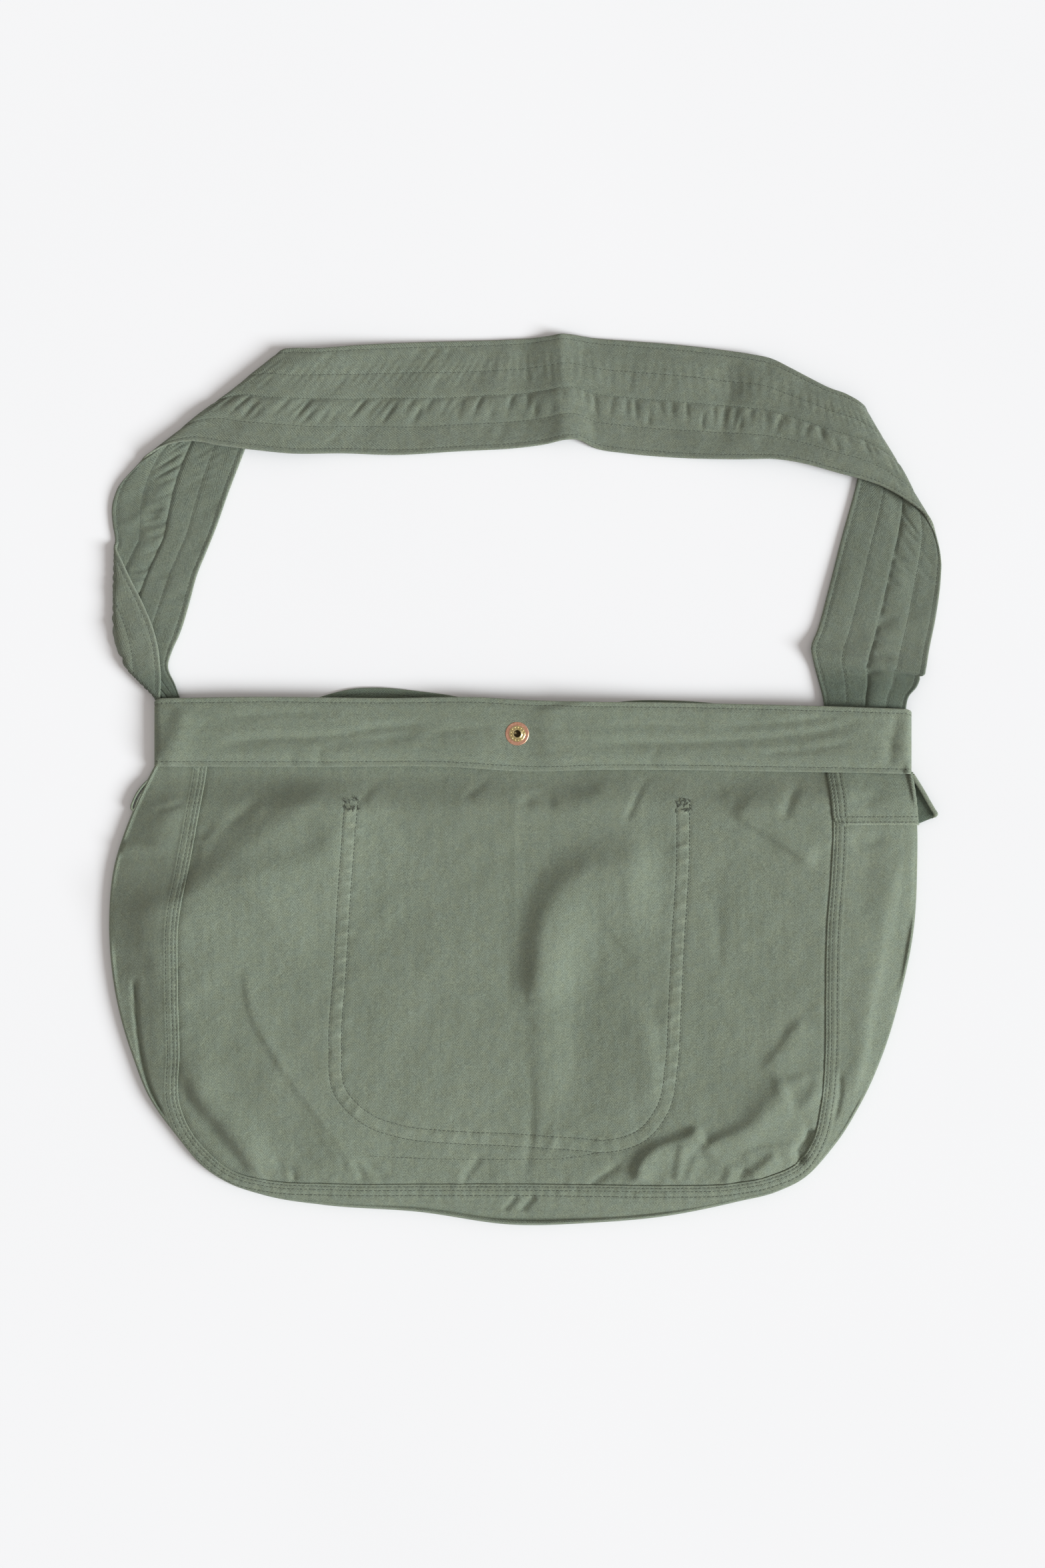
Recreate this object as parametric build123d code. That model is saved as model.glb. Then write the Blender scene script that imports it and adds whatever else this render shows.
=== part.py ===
from build123d import *
import os
from math import cos, pi, sin

# Messenger bag of herringbone cotton, empty, lying flat on its back.
# Millimetres. +Z points up from the surface that the bag lies on, +Y points from the
# bottom of the bag to its mouth and on to the strap, +X to the right of a person who
# looks down on the front. The origin is on that surface, under the middle of the bag.

# ---- driving dimensions ------------------------------------------------------------
CLOTH = 0.8            # one layer of cloth
REACH = 0.3            # gap left between pieces of different bodies

BAND_LEFT = -231.0     # the band round the mouth, pressed flat
BAND_RIGHT = 257.0
BAND_LOW_LEFT = 125.9  # height of its lower edge at each end
BAND_LOW_RIGHT = 121.1
MOUTH_GAP = 6.4        # between the two halves of the band
BELLY = 13.2           # room between the back panel and the front panel
PANEL_TOP = 136.0      # upper edge of the front panel, under the band

FOLD_HEIGHT = 4.2      # top of the crease that runs along the gusset
STATIONS = 64          # straight stretches along the gusset
PATCH_STRETCHES = 2    # how many of those the side patch covers

POCKET_LEFT = -108.0
POCKET_RIGHT = 109.0
POCKET_TOP = 104.4
POCKET_BOTTOM = -118.0
POCKET_CORNER = 15.0
POCKET_ROOM = 5.0

SNAP_X = 2.6
SNAP_Y = 146.9
WASHER_RADIUS = 7.5
EYELET_RADIUS = 5.2
EYELET_HOLE = 2.2
BUMPS = 13

STRAP_THICK = 3 * CLOTH
HINGE_Y = 173.0        # the strap swings about a line just above the band
ROLL = 3.2             # radius of the strap's turned corners, at mid thickness

# ---- levels ------------------------------------------------------------------------
BACK_FACING_LOW = CLOTH
MOUTH_LOW = 2 * CLOTH
MOUTH_HIGH = MOUTH_LOW + MOUTH_GAP
FRONT_LOW = CLOTH + BELLY
BAND_OUTER_LOW = MOUTH_HIGH + CLOTH
BAND_TOP = BAND_OUTER_LOW + CLOTH
HINGE_Z = MOUTH_LOW + STRAP_THICK / 2

# ---- outlines ----------------------------------------------------------------------
# Seam between the front panel and the gusset, left top round the bottom to right top.
SEAM = [
    (-205.5, 124.5), (-209, 88), (-219, 35), (-221, -40), (-216, -98), (-190, -132),
    (-150, -143), (-60, -146), (30, -148), (110, -148), (165, -137), (192, -113),
    (199, -75), (203, 0), (207, 75), (203, 120),
]
# Crease along the gusset, which is the outline of the bag seen from above.
CREASE = [
    (-233, 124.5), (-248, 92), (-260, 20), (-252, -42), (-236, -86), (-204, -131),
    (-150, -153), (-65, -161), (25, -169.5), (112, -162), (178, -144), (212, -111),
    (236, -71), (258, 5), (259, 75), (257.2, 120),
]
FRONT_BAND_EDGE = [(BAND_LEFT, 169.7), (-100, 170), (2, 168), (120, 166.5), (BAND_RIGHT, 162.8)]
BACK_BAND_EDGE = [
    (BAND_LEFT, 168.7), (-126, 169.2), (-96, 176.2), (-48, 172.8), (10, 169.2),
    (120, 166.5), (BAND_RIGHT, 162),
]

# Strap, from the left end of the mouth to the right one. Each pair is a straight line
# across the cloth: its inner edge, then its outer edge, each with the height of the
# middle of the cloth. The lines tilt towards each corner, where the strap turns over.
LEG_LOW = STRAP_THICK / 2
SPAN_HIGH = LEG_LOW + 2 * ROLL
ROOT_Y = HINGE_Y - STRAP_THICK / 2
LEFT_LEG = [
    ((-215.5, ROOT_Y, HINGE_Z), (-230.5, ROOT_Y, HINGE_Z)),
    ((-215.5, 174.5, HINGE_Z), (-230.5, 174.5, HINGE_Z)),
    ((-222, 197, LEG_LOW), (-250, 197, LEG_LOW)),
    ((-213, 223, LEG_LOW), (-257, 223, LEG_LOW)),
    ((-203, 249, LEG_LOW), (-258, 246, LEG_LOW)),
    ((-194, 275, LEG_LOW), (-258, 271, LEG_LOW)),
    ((-180, 311, LEG_LOW), (-260, 287, LEG_LOW)),
    ((-166, 347, LEG_LOW), (-258, 300, LEG_LOW)),
    ((-148, 390, LEG_LOW), (-247, 313, LEG_LOW)),
]
TOP_SPAN = [
    ((-148, 390, SPAN_HIGH), (-247, 313, SPAN_HIGH)),
    ((-125, 393, SPAN_HIGH), (-224, 328, SPAN_HIGH)),
    ((-103, 396, SPAN_HIGH - 1), (-190, 332, SPAN_HIGH)),
    ((-60, 399, LEG_LOW + 2), (-142, 327, LEG_LOW + 4)),
    ((-7, 401.5, LEG_LOW), (-48, 328, LEG_LOW)),
    ((30, 403.5, LEG_LOW), (33, 336, LEG_LOW)),
    ((64, 401, LEG_LOW), (54, 331, LEG_LOW)),
    ((99, 398, LEG_LOW), (99, 327, LEG_LOW)),
    ((144, 391, LEG_LOW + 2), (134, 324, LEG_LOW + 2)),
    ((168, 384, LEG_LOW + 4), (156, 321, LEG_LOW + 4)),
    ((192, 372, SPAN_HIGH), (190, 312, SPAN_HIGH)),
    ((209, 364, SPAN_HIGH), (238, 300, SPAN_HIGH)),
    ((223, 359, SPAN_HIGH), (269, 279, SPAN_HIGH)),
]
RIGHT_LEG = [
    ((223, 359, LEG_LOW), (269, 279, LEG_LOW)),
    ((223, 335, LEG_LOW), (275, 266, LEG_LOW)),
    ((222, 310, LEG_LOW), (276.5, 252, LEG_LOW)),
    ((213, 277, LEG_LOW), (276, 238, LEG_LOW)),
    ((206, 248, LEG_LOW), (272, 222, LEG_LOW)),
    ((198, 222, LEG_LOW), (268, 202, LEG_LOW)),
    ((192, 202, LEG_LOW), (265, 190, LEG_LOW)),
    ((199, 174.5, HINGE_Z), (254.5, 174.5, HINGE_Z)),
    ((199, ROOT_Y, HINGE_Z), (254.5, ROOT_Y, HINGE_Z)),
]
ROLL_STEPS = 4


def slab(edges, low, high):
    """A flat plate with this outline, from one height to another."""
    face = make_face(edges)
    return extrude(Plane.XY.offset(low) * face, amount=high - low, dir=(0, 0, 1))


def disc(radius, low, high, x=SNAP_X, y=SNAP_Y):
    """An upright cylinder on the snap's centre line."""
    return Pos(x, y, (low + high) / 2) * Cylinder(radius, high - low)


def turned(profile):
    """A ring turned from (radius, height) points about the snap's centre line."""
    points = [(radius, 0, height) for radius, height in profile]
    ring = revolve(make_face(Polyline(*points, close=True)), Axis.Z, 360)
    return Pos(SNAP_X, SNAP_Y, 0) * ring


def band_low(x):
    """Height of the band's straight lower edge at x."""
    share = (x - BAND_LEFT) / (BAND_RIGHT - BAND_LEFT)
    return BAND_LOW_LEFT + share * (BAND_LOW_RIGHT - BAND_LOW_LEFT)


def front_height(y):
    """Underside of the front panel: low under the band, full height over the belly."""
    if y > 120.5:
        return MOUTH_HIGH
    if y > 110:
        return MOUTH_HIGH + (120.5 - y) / 10.5 * (FRONT_LOW - MOUTH_HIGH)
    if y > -118:
        return FRONT_LOW
    return FRONT_LOW - (-118 - y) / 32 * 4.5


def band_plate(top_edge, low_left, low_right, low, high, inset=0.0):
    """One layer of one half of the band, between its curved top edge and a straight one."""
    top = Spline(*top_edge)
    corners = [top @ 1, (BAND_RIGHT, low_right), (BAND_LEFT, low_left), top @ 0]
    plate = slab([top, Polyline(*corners)], low, high)
    if inset:
        keep = Pos((BAND_LEFT + BAND_RIGHT) / 2, 150, 0) * Box(BAND_RIGHT - BAND_LEFT - 2 * inset, 90, 60)
        plate = plate & keep
    return plate


def band_ends(low_left, low_right, low, high, top_left, top_right):
    """The short walls that turn the band round at both ends of the mouth."""
    walls = []
    for x, low_y, top_y in ((BAND_LEFT, low_left, top_left), (BAND_RIGHT - CLOTH, low_right, top_right)):
        centre = Pos(x + CLOTH / 2, (low_y + top_y) / 2, (low + high) / 2)
        walls.append(centre * Box(CLOTH, top_y - low_y, high - low))
    return walls


# ---- stations along the gusset -------------------------------------------------------
seam_curve = Spline(*SEAM)
crease_curve = Spline(*CREASE)
seam_points = []
crease_points = []
for step in range(STATIONS + 1):
    seam_points.append(seam_curve @ (step / STATIONS))
    crease_points.append(crease_curve @ (step / STATIONS))


def gusset_section(index, heights_at_seam, heights_at_crease, wall_end, wall_side):
    """Upright section from the seam to the crease, with its edge turned along the crease."""
    seam_at = seam_points[index]
    crease_at = crease_points[index]
    inward = (seam_at - crease_at).normalized() * CLOTH
    inner = crease_at + inward
    near_low, near_high = heights_at_seam
    far_low, far_high = heights_at_crease
    outside, inside = (far_high, far_low) if wall_side < 0 else (far_low, far_high)
    near_outside, near_inside = (near_high, near_low) if wall_side < 0 else (near_low, near_high)
    corners = [
        (seam_at.X, seam_at.Y, near_outside),
        (crease_at.X, crease_at.Y, outside),
        (crease_at.X, crease_at.Y, wall_end),
        (inner.X, inner.Y, wall_end),
        (inner.X, inner.Y, inside),
        (seam_at.X, seam_at.Y, near_inside),
    ]
    return make_face(Polyline(*corners, close=True))


WALL_SPLIT = 2.2       # height at which the crease divides the gusset's two halves


def gusset_front():
    sections = []
    for index in range(STATIONS + 1):
        low = front_height(seam_points[index].Y)
        heights = (low, low + CLOTH)
        at_crease = (FOLD_HEIGHT - CLOTH, FOLD_HEIGHT)
        sections.append(gusset_section(index, heights, at_crease, WALL_SPLIT + REACH, -1))
    return loft(sections, ruled=True)


def gusset_back():
    sections = []
    for index in range(STATIONS + 1):
        sections.append(gusset_section(index, (0, CLOTH), (0, CLOTH), WALL_SPLIT, 1))
    return loft(sections, ruled=True)


def side_patch():
    """Patch on the right of the gusset, just below the band."""
    sections = []
    for index in range(STATIONS - PATCH_STRETCHES, STATIONS + 1):
        seam_at = seam_points[index]
        crease_at = crease_points[index]
        near_z = front_height(seam_at.Y) + CLOTH
        corners = []
        for share, lift in ((0.04, 0), (0.97, 0), (0.97, CLOTH), (0.04, CLOTH)):
            spot = seam_at + (crease_at - seam_at) * share
            corners.append((spot.X, spot.Y, near_z + share * (FOLD_HEIGHT - near_z) + lift))
        sections.append(make_face(Polyline(*corners, close=True)))
    return loft(sections, ruled=True) - beside_round_root()


# ---- panels ---------------------------------------------------------------------------
def front_panel():
    outline = [(point.X, point.Y) for point in seam_points]
    outline += [(203, PANEL_TOP), (-205.5, PANEL_TOP)]
    prism = slab(Polyline(*outline, close=True), 0, 40)
    bends = [PANEL_TOP, 120.5, 110, -118, -150]
    under = [(y, front_height(y)) for y in bends]
    over = [(y, front_height(y) + CLOTH) for y in reversed(bends)]
    profile = Plane.YZ * make_face(Polyline(*under, *over, close=True))
    return extrude(profile, amount=300, both=True) & prism


def back_panel():
    outline = [(point.X, point.Y) for point in seam_points]
    outline += [(203, band_low(203)), (-205.5, band_low(-205.5))]
    return slab(Polyline(*outline, close=True), 0, CLOTH)


def inner_pocket():
    """Patch pocket inside the front: a shallow tray, open towards the mouth."""
    low = FRONT_LOW - POCKET_ROOM - CLOTH
    width = POCKET_RIGHT - POCKET_LEFT
    length = POCKET_TOP - POCKET_BOTTOM
    place = Pos((POCKET_LEFT + POCKET_RIGHT) / 2, (POCKET_TOP + POCKET_BOTTOM) / 2, (low + FRONT_LOW) / 2)
    tray = place * Box(width, length, FRONT_LOW - low)
    tray = fillet(tray.edges().filter_by(Axis.Z).group_by(Axis.Y)[0], POCKET_CORNER)
    hollow = place * Pos(0, CLOTH, CLOTH) * Box(width - 2 * CLOTH, length, FRONT_LOW - low)
    hollow = fillet(hollow.edges().filter_by(Axis.Z).group_by(Axis.Y)[0], POCKET_CORNER - CLOTH)
    return tray - hollow


def bartacks():
    """Blocks of thread at the top corners of the pocket, on the front panel."""
    top = FRONT_LOW + CLOTH
    return [Pos(x, 103, top + 0.15) * Box(6, 5, 0.3) for x in (POCKET_LEFT + 10, POCKET_RIGHT - 4)]


# ---- band -------------------------------------------------------------------------------
def front_band_outer():
    plate = band_plate(FRONT_BAND_EDGE, BAND_LOW_LEFT, BAND_LOW_RIGHT, BAND_OUTER_LOW, BAND_TOP)
    for wall in band_ends(BAND_LOW_LEFT, BAND_LOW_RIGHT, 4.9, BAND_OUTER_LOW, 168, 161):
        plate += wall
    return plate - disc(2.75, 0, 20)


def front_band_facing():
    edge = PANEL_TOP + 0.05
    plate = band_plate(FRONT_BAND_EDGE, edge, edge, MOUTH_HIGH, BAND_OUTER_LOW, inset=CLOTH + 0.05)
    return plate - disc(2.75, 0, 20)


def back_band_outer():
    plate = band_plate(BACK_BAND_EDGE, BAND_LOW_LEFT, BAND_LOW_RIGHT, 0, CLOTH)
    for wall in band_ends(BAND_LOW_LEFT, BAND_LOW_RIGHT, CLOTH, 4.6, 168, 161):
        plate += wall
    return plate - disc(6.55, -1, 0.6) - disc(1.7, -1, 5)


def back_band_facing():
    plate = band_plate(BACK_BAND_EDGE, 116, 116, CLOTH, MOUTH_LOW, inset=CLOTH + 0.05)
    return plate - disc(1.7, -1, 5)


# ---- side tabs and strap ends ---------------------------------------------------------
def side_tab(points):
    """Folded corner of cloth that stands out from the side, just below the band."""
    return slab(Polyline(*points, close=True), WALL_SPLIT + REACH, FOLD_HEIGHT)


END_Y = ROOT_Y - 0.1


def strap_end(points):
    """End of the strap, sewn in behind the band."""
    return slab(Polyline(*points, close=True), MOUTH_LOW, MOUTH_LOW + STRAP_THICK)


# ---- strap --------------------------------------------------------------------------------
def turned_corner(line, side):
    """Lines round a turned-over corner, from its lower layer to its upper layer."""
    inner, outer = Vector(*line[0]), Vector(*line[1])
    along = (outer - inner).normalized()
    outward = Vector(-along.Y, along.X, 0) * side
    lines = []
    for step in range(1, ROLL_STEPS):
        angle = pi * step / ROLL_STEPS
        shift = outward * (ROLL * sin(angle)) + Vector(0, 0, ROLL * (1 - cos(angle)))
        lines.append((inner + shift, outer + shift))
    return lines


def strap_lines():
    lines = [(Vector(*a), Vector(*b)) for a, b in LEFT_LEG]
    lines += turned_corner(LEFT_LEG[-1], -1)
    lines += [(Vector(*a), Vector(*b)) for a, b in TOP_SPAN]
    lines += reversed(turned_corner(RIGHT_LEG[0], 1))
    lines += [(Vector(*a), Vector(*b)) for a, b in RIGHT_LEG]
    return lines


def beside_round_root():
    """Space around the strap's roots, which are rounded about the line they swing on."""
    block = Pos(0, HINGE_Y - 3, HINGE_Z) * Box(540, 6, 6)
    return block - Pos(0, HINGE_Y, HINGE_Z) * Rot(0, 90, 0) * Cylinder(STRAP_THICK / 2, 540)


def strap_layer(low, high):
    """One layer of the strap, between two distances from the middle of its thickness."""
    lines = strap_lines()
    sections = []
    for index, (inner, outer) in enumerate(lines):
        before = lines[max(index - 1, 0)]
        after = lines[min(index + 1, len(lines) - 1)]
        ahead = (after[0] + after[1] - before[0] - before[1]).normalized()
        face_up = (outer - inner).cross(ahead).normalized()
        corners = [inner + face_up * low, outer + face_up * low, outer + face_up * high, inner + face_up * high]
        sections.append(make_face(Polyline(*corners, close=True)))
    return loft(sections, ruled=True) - beside_round_root()


# ---- snap ------------------------------------------------------------------------------
def snap_front_washer():
    top = BAND_TOP + 0.35
    return turned([(2.75, BAND_TOP), (WASHER_RADIUS, BAND_TOP), (WASHER_RADIUS, top - 0.2),
                   (WASHER_RADIUS - 0.3, top), (2.75, top)])


def snap_front_eyelet():
    seat = BAND_TOP + 0.35
    ring = turned([(EYELET_HOLE, MOUTH_HIGH - 0.4), (2.6, MOUTH_HIGH - 0.4), (2.6, seat), (EYELET_RADIUS, seat),
                   (EYELET_RADIUS, seat + 0.3), (4.9, seat + 0.5), (3.6, seat + 0.55), (3.2, seat + 0.9),
                   (2.8, seat + 1.1), (2.4, seat + 1.0), (EYELET_HOLE, seat + 0.7)])
    for bump in range(BUMPS):
        angle = 2 * pi * bump / BUMPS
        spot = Pos(SNAP_X + 4.2 * cos(angle), SNAP_Y + 4.2 * sin(angle), seat + 0.5)
        ring += spot * Sphere(0.5)
    return ring


def snap_socket():
    top = MOUTH_HIGH
    return turned([(2.65, top), (6.0, top), (6.0, top - 0.6), (5.2, top - 1.2), (5.0, top - 3.2),
                   (4.6, top - 3.6), (3.1, top - 3.6), (3.1, top - 3.0), (3.95, top - 3.0),
                   (3.95, top - 2.0), (3.1, top - 2.0), (3.1, top - 0.4), (2.65, top - 0.4)])


def snap_spring():
    """Split ring of wire in the groove of the socket."""
    height = MOUTH_HIGH - 2.5
    wire = Plane((3.52, 0, 0), x_dir=(1, 0, 0), z_dir=(0, 1, 0)) * Circle(0.34)
    return Pos(SNAP_X, SNAP_Y, height) * revolve(wire, Axis.Z, 320)


def snap_stud():
    seat = MOUTH_LOW
    return turned([(1.6, seat), (5.5, seat), (5.5, seat + 0.4), (4.8, seat + 0.7), (2.6, seat + 0.9),
                   (2.3, seat + 1.6), (2.3, seat + 3.4), (2.85, seat + 4.0), (2.85, seat + 4.6),
                   (2.4, seat + 5.2), (1.6, seat + 5.2)])


def snap_back_washer():
    return turned([(1.7, 0.3), (6.4, 0.3), (6.4, 0.55), (1.7, 0.55)])


def snap_back_eyelet():
    return turned([(1.2, 0), (5.0, 0), (5.0, 0.25), (1.55, 0.3), (1.55, 3.5), (1.2, 3.5)])


# ---- write every piece ------------------------------------------------------------------
HALF = STRAP_THICK / 2
pieces = {
    "front_panel": front_panel(),
    "back_panel": back_panel(),
    "gusset_front": gusset_front(),
    "gusset_back": gusset_back(),
    "front_band_outer": front_band_outer(),
    "front_band_facing": front_band_facing(),
    "back_band_outer": back_band_outer(),
    "back_band_facing": back_band_facing(),
    "inner_pocket": inner_pocket(),
    "bartacks": Compound(children=bartacks()),
    "side_patch": side_patch(),
    "side_tab_right": side_tab([(258.9, 117), (272, 96), (262, 89.5), (259.4, 91)]),
    "side_tab_left": side_tab([(-238.2, 121), (-253, 98), (-251.7, 92.5), (-248.4, 97.2), (-238.6, 117)]),
    "strap_end_left": strap_end([(-229.6, END_Y), (-215.5, END_Y), (-203, 125), (-229.6, 125)]),
    "strap_end_right": strap_end([(199, END_Y), (254.5, END_Y), (252, 125), (200, 125)]),
    "strap_outer": strap_layer(HALF - CLOTH, HALF),
    "strap_interlining": strap_layer(HALF - 2 * CLOTH, HALF - CLOTH),
    "strap_lining": strap_layer(-HALF, HALF - 2 * CLOTH),
    "snap_front_washer": snap_front_washer(),
    "snap_front_eyelet": snap_front_eyelet(),
    "snap_socket": snap_socket(),
    "snap_spring": snap_spring(),
    "snap_stud": snap_stud(),
    "snap_back_washer": snap_back_washer(),
    "snap_back_eyelet": snap_back_eyelet(),
}

os.makedirs("parts", exist_ok=True)
for name, shape in pieces.items():
    export_step(shape, f"parts/{name}.step")
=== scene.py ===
import math

import bpy
import numpy as np
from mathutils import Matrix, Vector
from mathutils.geometry import delaunay_2d_cdt


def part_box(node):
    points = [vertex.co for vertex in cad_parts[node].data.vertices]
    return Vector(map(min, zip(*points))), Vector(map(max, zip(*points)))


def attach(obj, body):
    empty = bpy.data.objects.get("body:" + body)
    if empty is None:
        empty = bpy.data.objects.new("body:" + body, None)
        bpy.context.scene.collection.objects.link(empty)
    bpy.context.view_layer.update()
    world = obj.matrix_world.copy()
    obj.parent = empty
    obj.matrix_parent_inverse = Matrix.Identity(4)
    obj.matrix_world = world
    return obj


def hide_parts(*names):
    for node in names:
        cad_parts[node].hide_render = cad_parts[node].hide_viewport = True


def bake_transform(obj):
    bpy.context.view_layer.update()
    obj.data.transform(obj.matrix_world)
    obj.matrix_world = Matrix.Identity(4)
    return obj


# Messenger bag of herringbone cotton, empty, lying flat on its back.
# Shapes are worked out in millimetres in the CAD frame and stored in metres.
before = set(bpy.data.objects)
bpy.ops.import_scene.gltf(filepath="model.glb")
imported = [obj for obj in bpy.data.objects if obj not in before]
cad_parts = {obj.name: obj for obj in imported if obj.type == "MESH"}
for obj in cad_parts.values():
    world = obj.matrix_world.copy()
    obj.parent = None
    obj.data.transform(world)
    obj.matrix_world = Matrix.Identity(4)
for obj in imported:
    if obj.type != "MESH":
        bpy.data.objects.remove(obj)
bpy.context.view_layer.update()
MM = 0.001


def box_mm(node):
    """Lowest and highest corner of a CAD node, in millimetres."""
    low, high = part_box(node)
    return np.array(low) / MM, np.array(high) / MM


# ---- places read from the frame ---------------------------------------------------------
band_low, band_high = box_mm("front_band_outer")
pocket_low, pocket_high = box_mm("inner_pocket")
washer_low, washer_high = box_mm("snap_front_washer")
BAND_LEFT, BAND_RIGHT = band_low[0] + 1.2, band_high[0] - 1.8
SNAP = (washer_low[:2] + washer_high[:2]) / 2
BAND_TOP_Z = washer_low[2]

# ---- driving sizes ----------------------------------------------------------------------
CLOTH = 0.7            # one layer of cloth
GUSSET_WIDTH = 110.0
LAP = 9.0              # width of the three stitched layers at the seams
FOLD = 2.4             # radius of the gusset's crease
CREST = 12.6           # height of the front over the belly
STITCH = 2.8           # from one stitch to the next
STRAP_WIDTH = 70.0
STRAP_BODY = 2.0       # thickness of the strap's layers together
COLUMN = 3.9           # width of one herringbone column
SEAM_ROWS = (1.6, 4.0, 7.6)
STRAP_ROWS = (3.5, 19.5, 35.5, 53.0, 67.0)

# Seam between the front panel and the gusset, and the crease of the gusset beside each
# of its points, from the left of the mouth round the bottom to the right.
SEAM_AND_CREASE = [
    (-196.5, 128, -230, 128), (-199, 108, -240, 108), (-203, 84, -250, 84), (-208, 56, -257.5, 58),
    (-213, 25, -260, 25), (-214, -15, -256.5, -17), (-213.5, -58, -245, -60), (-213.5, -92, -230.5, -93),
    (-206, -109, -215, -113.5), (-195, -122, -201, -130), (-180, -133.5, -183, -142),
    (-160, -139, -161, -149.5), (-120, -141.5, -122, -156), (-60, -142, -61, -160.5),
    (0, -142, 0, -168.8), (50, -142.3, 50, -167.6), (100, -142.8, 101, -162.8), (140, -141.5, 144, -154),
    (165, -136.5, 171, -147), (182, -128.5, 190, -136.5), (192, -114, 208, -116), (197, -92, 223, -92),
    (199.5, -60, 237.5, -60), (199.8, -20, 249.5, -20), (200.5, 20, 257.6, 20), (203.5, 62, 260, 62),
    (204.5, 92, 259.8, 92), (201.5, 124, 256, 124),
]


# ---- curves ------------------------------------------------------------------------------
def knots(points, columns=slice(None)):
    """Length along the chords of a list of points, measured on some of its columns."""
    points = np.array(points, float)[:, columns]
    steps = np.linalg.norm(np.diff(points, axis=0), axis=1)
    return np.concatenate([[0], np.cumsum(np.maximum(steps, 1e-6))])


def along(points, at, columns=slice(None)):
    """Smooth curve through the points, read at lengths along its chords."""
    points = np.array(points, float)
    t = knots(points, columns)
    gaps = np.diff(t)[:, None]
    slopes = np.diff(points, axis=0) / gaps
    tangents = np.empty_like(points)
    tangents[0], tangents[-1] = slopes[0], slopes[-1]
    tangents[1:-1] = (slopes[:-1] * gaps[1:] + slopes[1:] * gaps[:-1]) / (gaps[1:] + gaps[:-1])
    at = np.clip(np.array(at, float), 0, t[-1])
    span = np.clip(np.searchsorted(t, at, side="right") - 1, 0, len(gaps) - 1)
    gap = gaps[span]
    f = ((at - t[span]) / gap[:, 0])[:, None]
    return (
        (2 * f**3 - 3 * f**2 + 1) * points[span] + (f**3 - 2 * f**2 + f) * gap * tangents[span]
        + (3 * f**2 - 2 * f**3) * points[span + 1] + (f**3 - f**2) * gap * tangents[span + 1]
    )


def dense(points, step=3.0):
    """The smooth curve through the points, as many short stretches."""
    end = knots(points)[-1]
    return along(points, np.linspace(0, end, max(8, int(end / step))))


def beside(line, x, y):
    """For each place: length along the line, and distance from it, positive on its left."""
    line = np.asarray(line, float)[:, :2]
    start, step = line[:-1], np.diff(line, axis=0)
    length = np.linalg.norm(step, axis=1)
    run = np.concatenate([[0], np.cumsum(length)])[:-1]
    px, py = np.ravel(x), np.ravel(y)
    out_s, out_d = np.empty(px.size), np.empty(px.size)
    for first in range(0, px.size, 4000):
        cut = slice(first, first + 4000)
        dx = px[cut, None] - start[None, :, 0]
        dy = py[cut, None] - start[None, :, 1]
        f = np.clip((dx * step[:, 0] + dy * step[:, 1]) / length**2, 0, 1)
        gap = np.hypot(dx - f * step[:, 0], dy - f * step[:, 1])
        best = gap.argmin(axis=1)
        row = np.arange(best.size)
        side = np.sign(step[best, 0] * dy[row, best] - step[best, 1] * dx[row, best])
        out_s[cut] = run[best] + f[row, best] * length[best]
        out_d[cut] = gap[row, best] * np.where(side == 0, 1, side)
    return out_s.reshape(np.shape(x)), out_d.reshape(np.shape(x))


def ease(x, low, high):
    """0 below low, 1 above high, and smooth between."""
    f = np.clip((x - low) / (high - low), 0, 1)
    return f * f * (3 - 2 * f)


def clouds(x, y, size, seed):
    """Smooth random height from -1 to 1, in patches about this large."""
    grid = np.random.default_rng(seed).uniform(-1, 1, (96, 96))
    u, v = np.asarray(x) / size + 40.37, np.asarray(y) / size + 40.71
    i, j = np.floor(u).astype(int), np.floor(v).astype(int)
    f, g = u - i, v - j
    f, g = f * f * (3 - 2 * f), g * g * (3 - 2 * g)
    i, j = i % 95, j % 95
    low = grid[i, j] * (1 - f) + grid[i + 1, j] * f
    high = grid[i, j + 1] * (1 - f) + grid[i + 1, j + 1] * f
    return low * (1 - g) + high * g


def fold(x, y, points, height, left, right, soft=0.3):
    """A soft ridge along a curve, or a groove if its height is below 0.

    left and right are how far it spreads on each side, at its start and at its end; soft
    is the share of its length over which it dies away at each end.
    """
    line = dense(points)
    total = knots(line)[-1]
    reach = total / 2 + 3 * max(left[-1], right[-1]) + 20
    near = np.hypot(x - line[:, 0].mean(), y - line[:, 1].mean()) < reach
    out = np.zeros(np.shape(x))
    if not near.any():
        return out
    s, d = beside(line, x[near], y[near])
    f = s / total
    spread = np.where(d > 0, left[0] + (left[-1] - left[0]) * f, right[0] + (right[-1] - right[0]) * f)
    ends = ease(f, 0, soft) * (1 - ease(f, 1 - soft, 1))
    out[near] = height * np.exp(-(d / spread) ** 2) * ends
    return out


# ---- the lie of the cloth -------------------------------------------------------------------
seam_line = dense([p[:2] for p in SEAM_AND_CREASE])
crease_line = dense([p[2:] for p in SEAM_AND_CREASE])

# Two rows of stitches hold the inner pocket to the front; this is the inner row.
POCKET_ROW = [
    (-99, 104), (-101.5, 70), (-103.5, 45), (-107, -10), (-109.5, -52), (-106.5, -81), (-90, -97),
    (-70, -104), (-40, -107.5), (0, -109.5), (40, -112), (62, -113), (80, -107), (92, -92), (97.5, -65),
    (99.5, -30), (102, 20), (104.5, 60), (105, 104),
]
POCKET_GAP = 8.0
# A third, unfinished row under the pocket's bottom edge.
POCKET_EXTRA = [(-92, -123.5), (-50, -125.5), (0, -126), (35, -125), (58, -121)]

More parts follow.
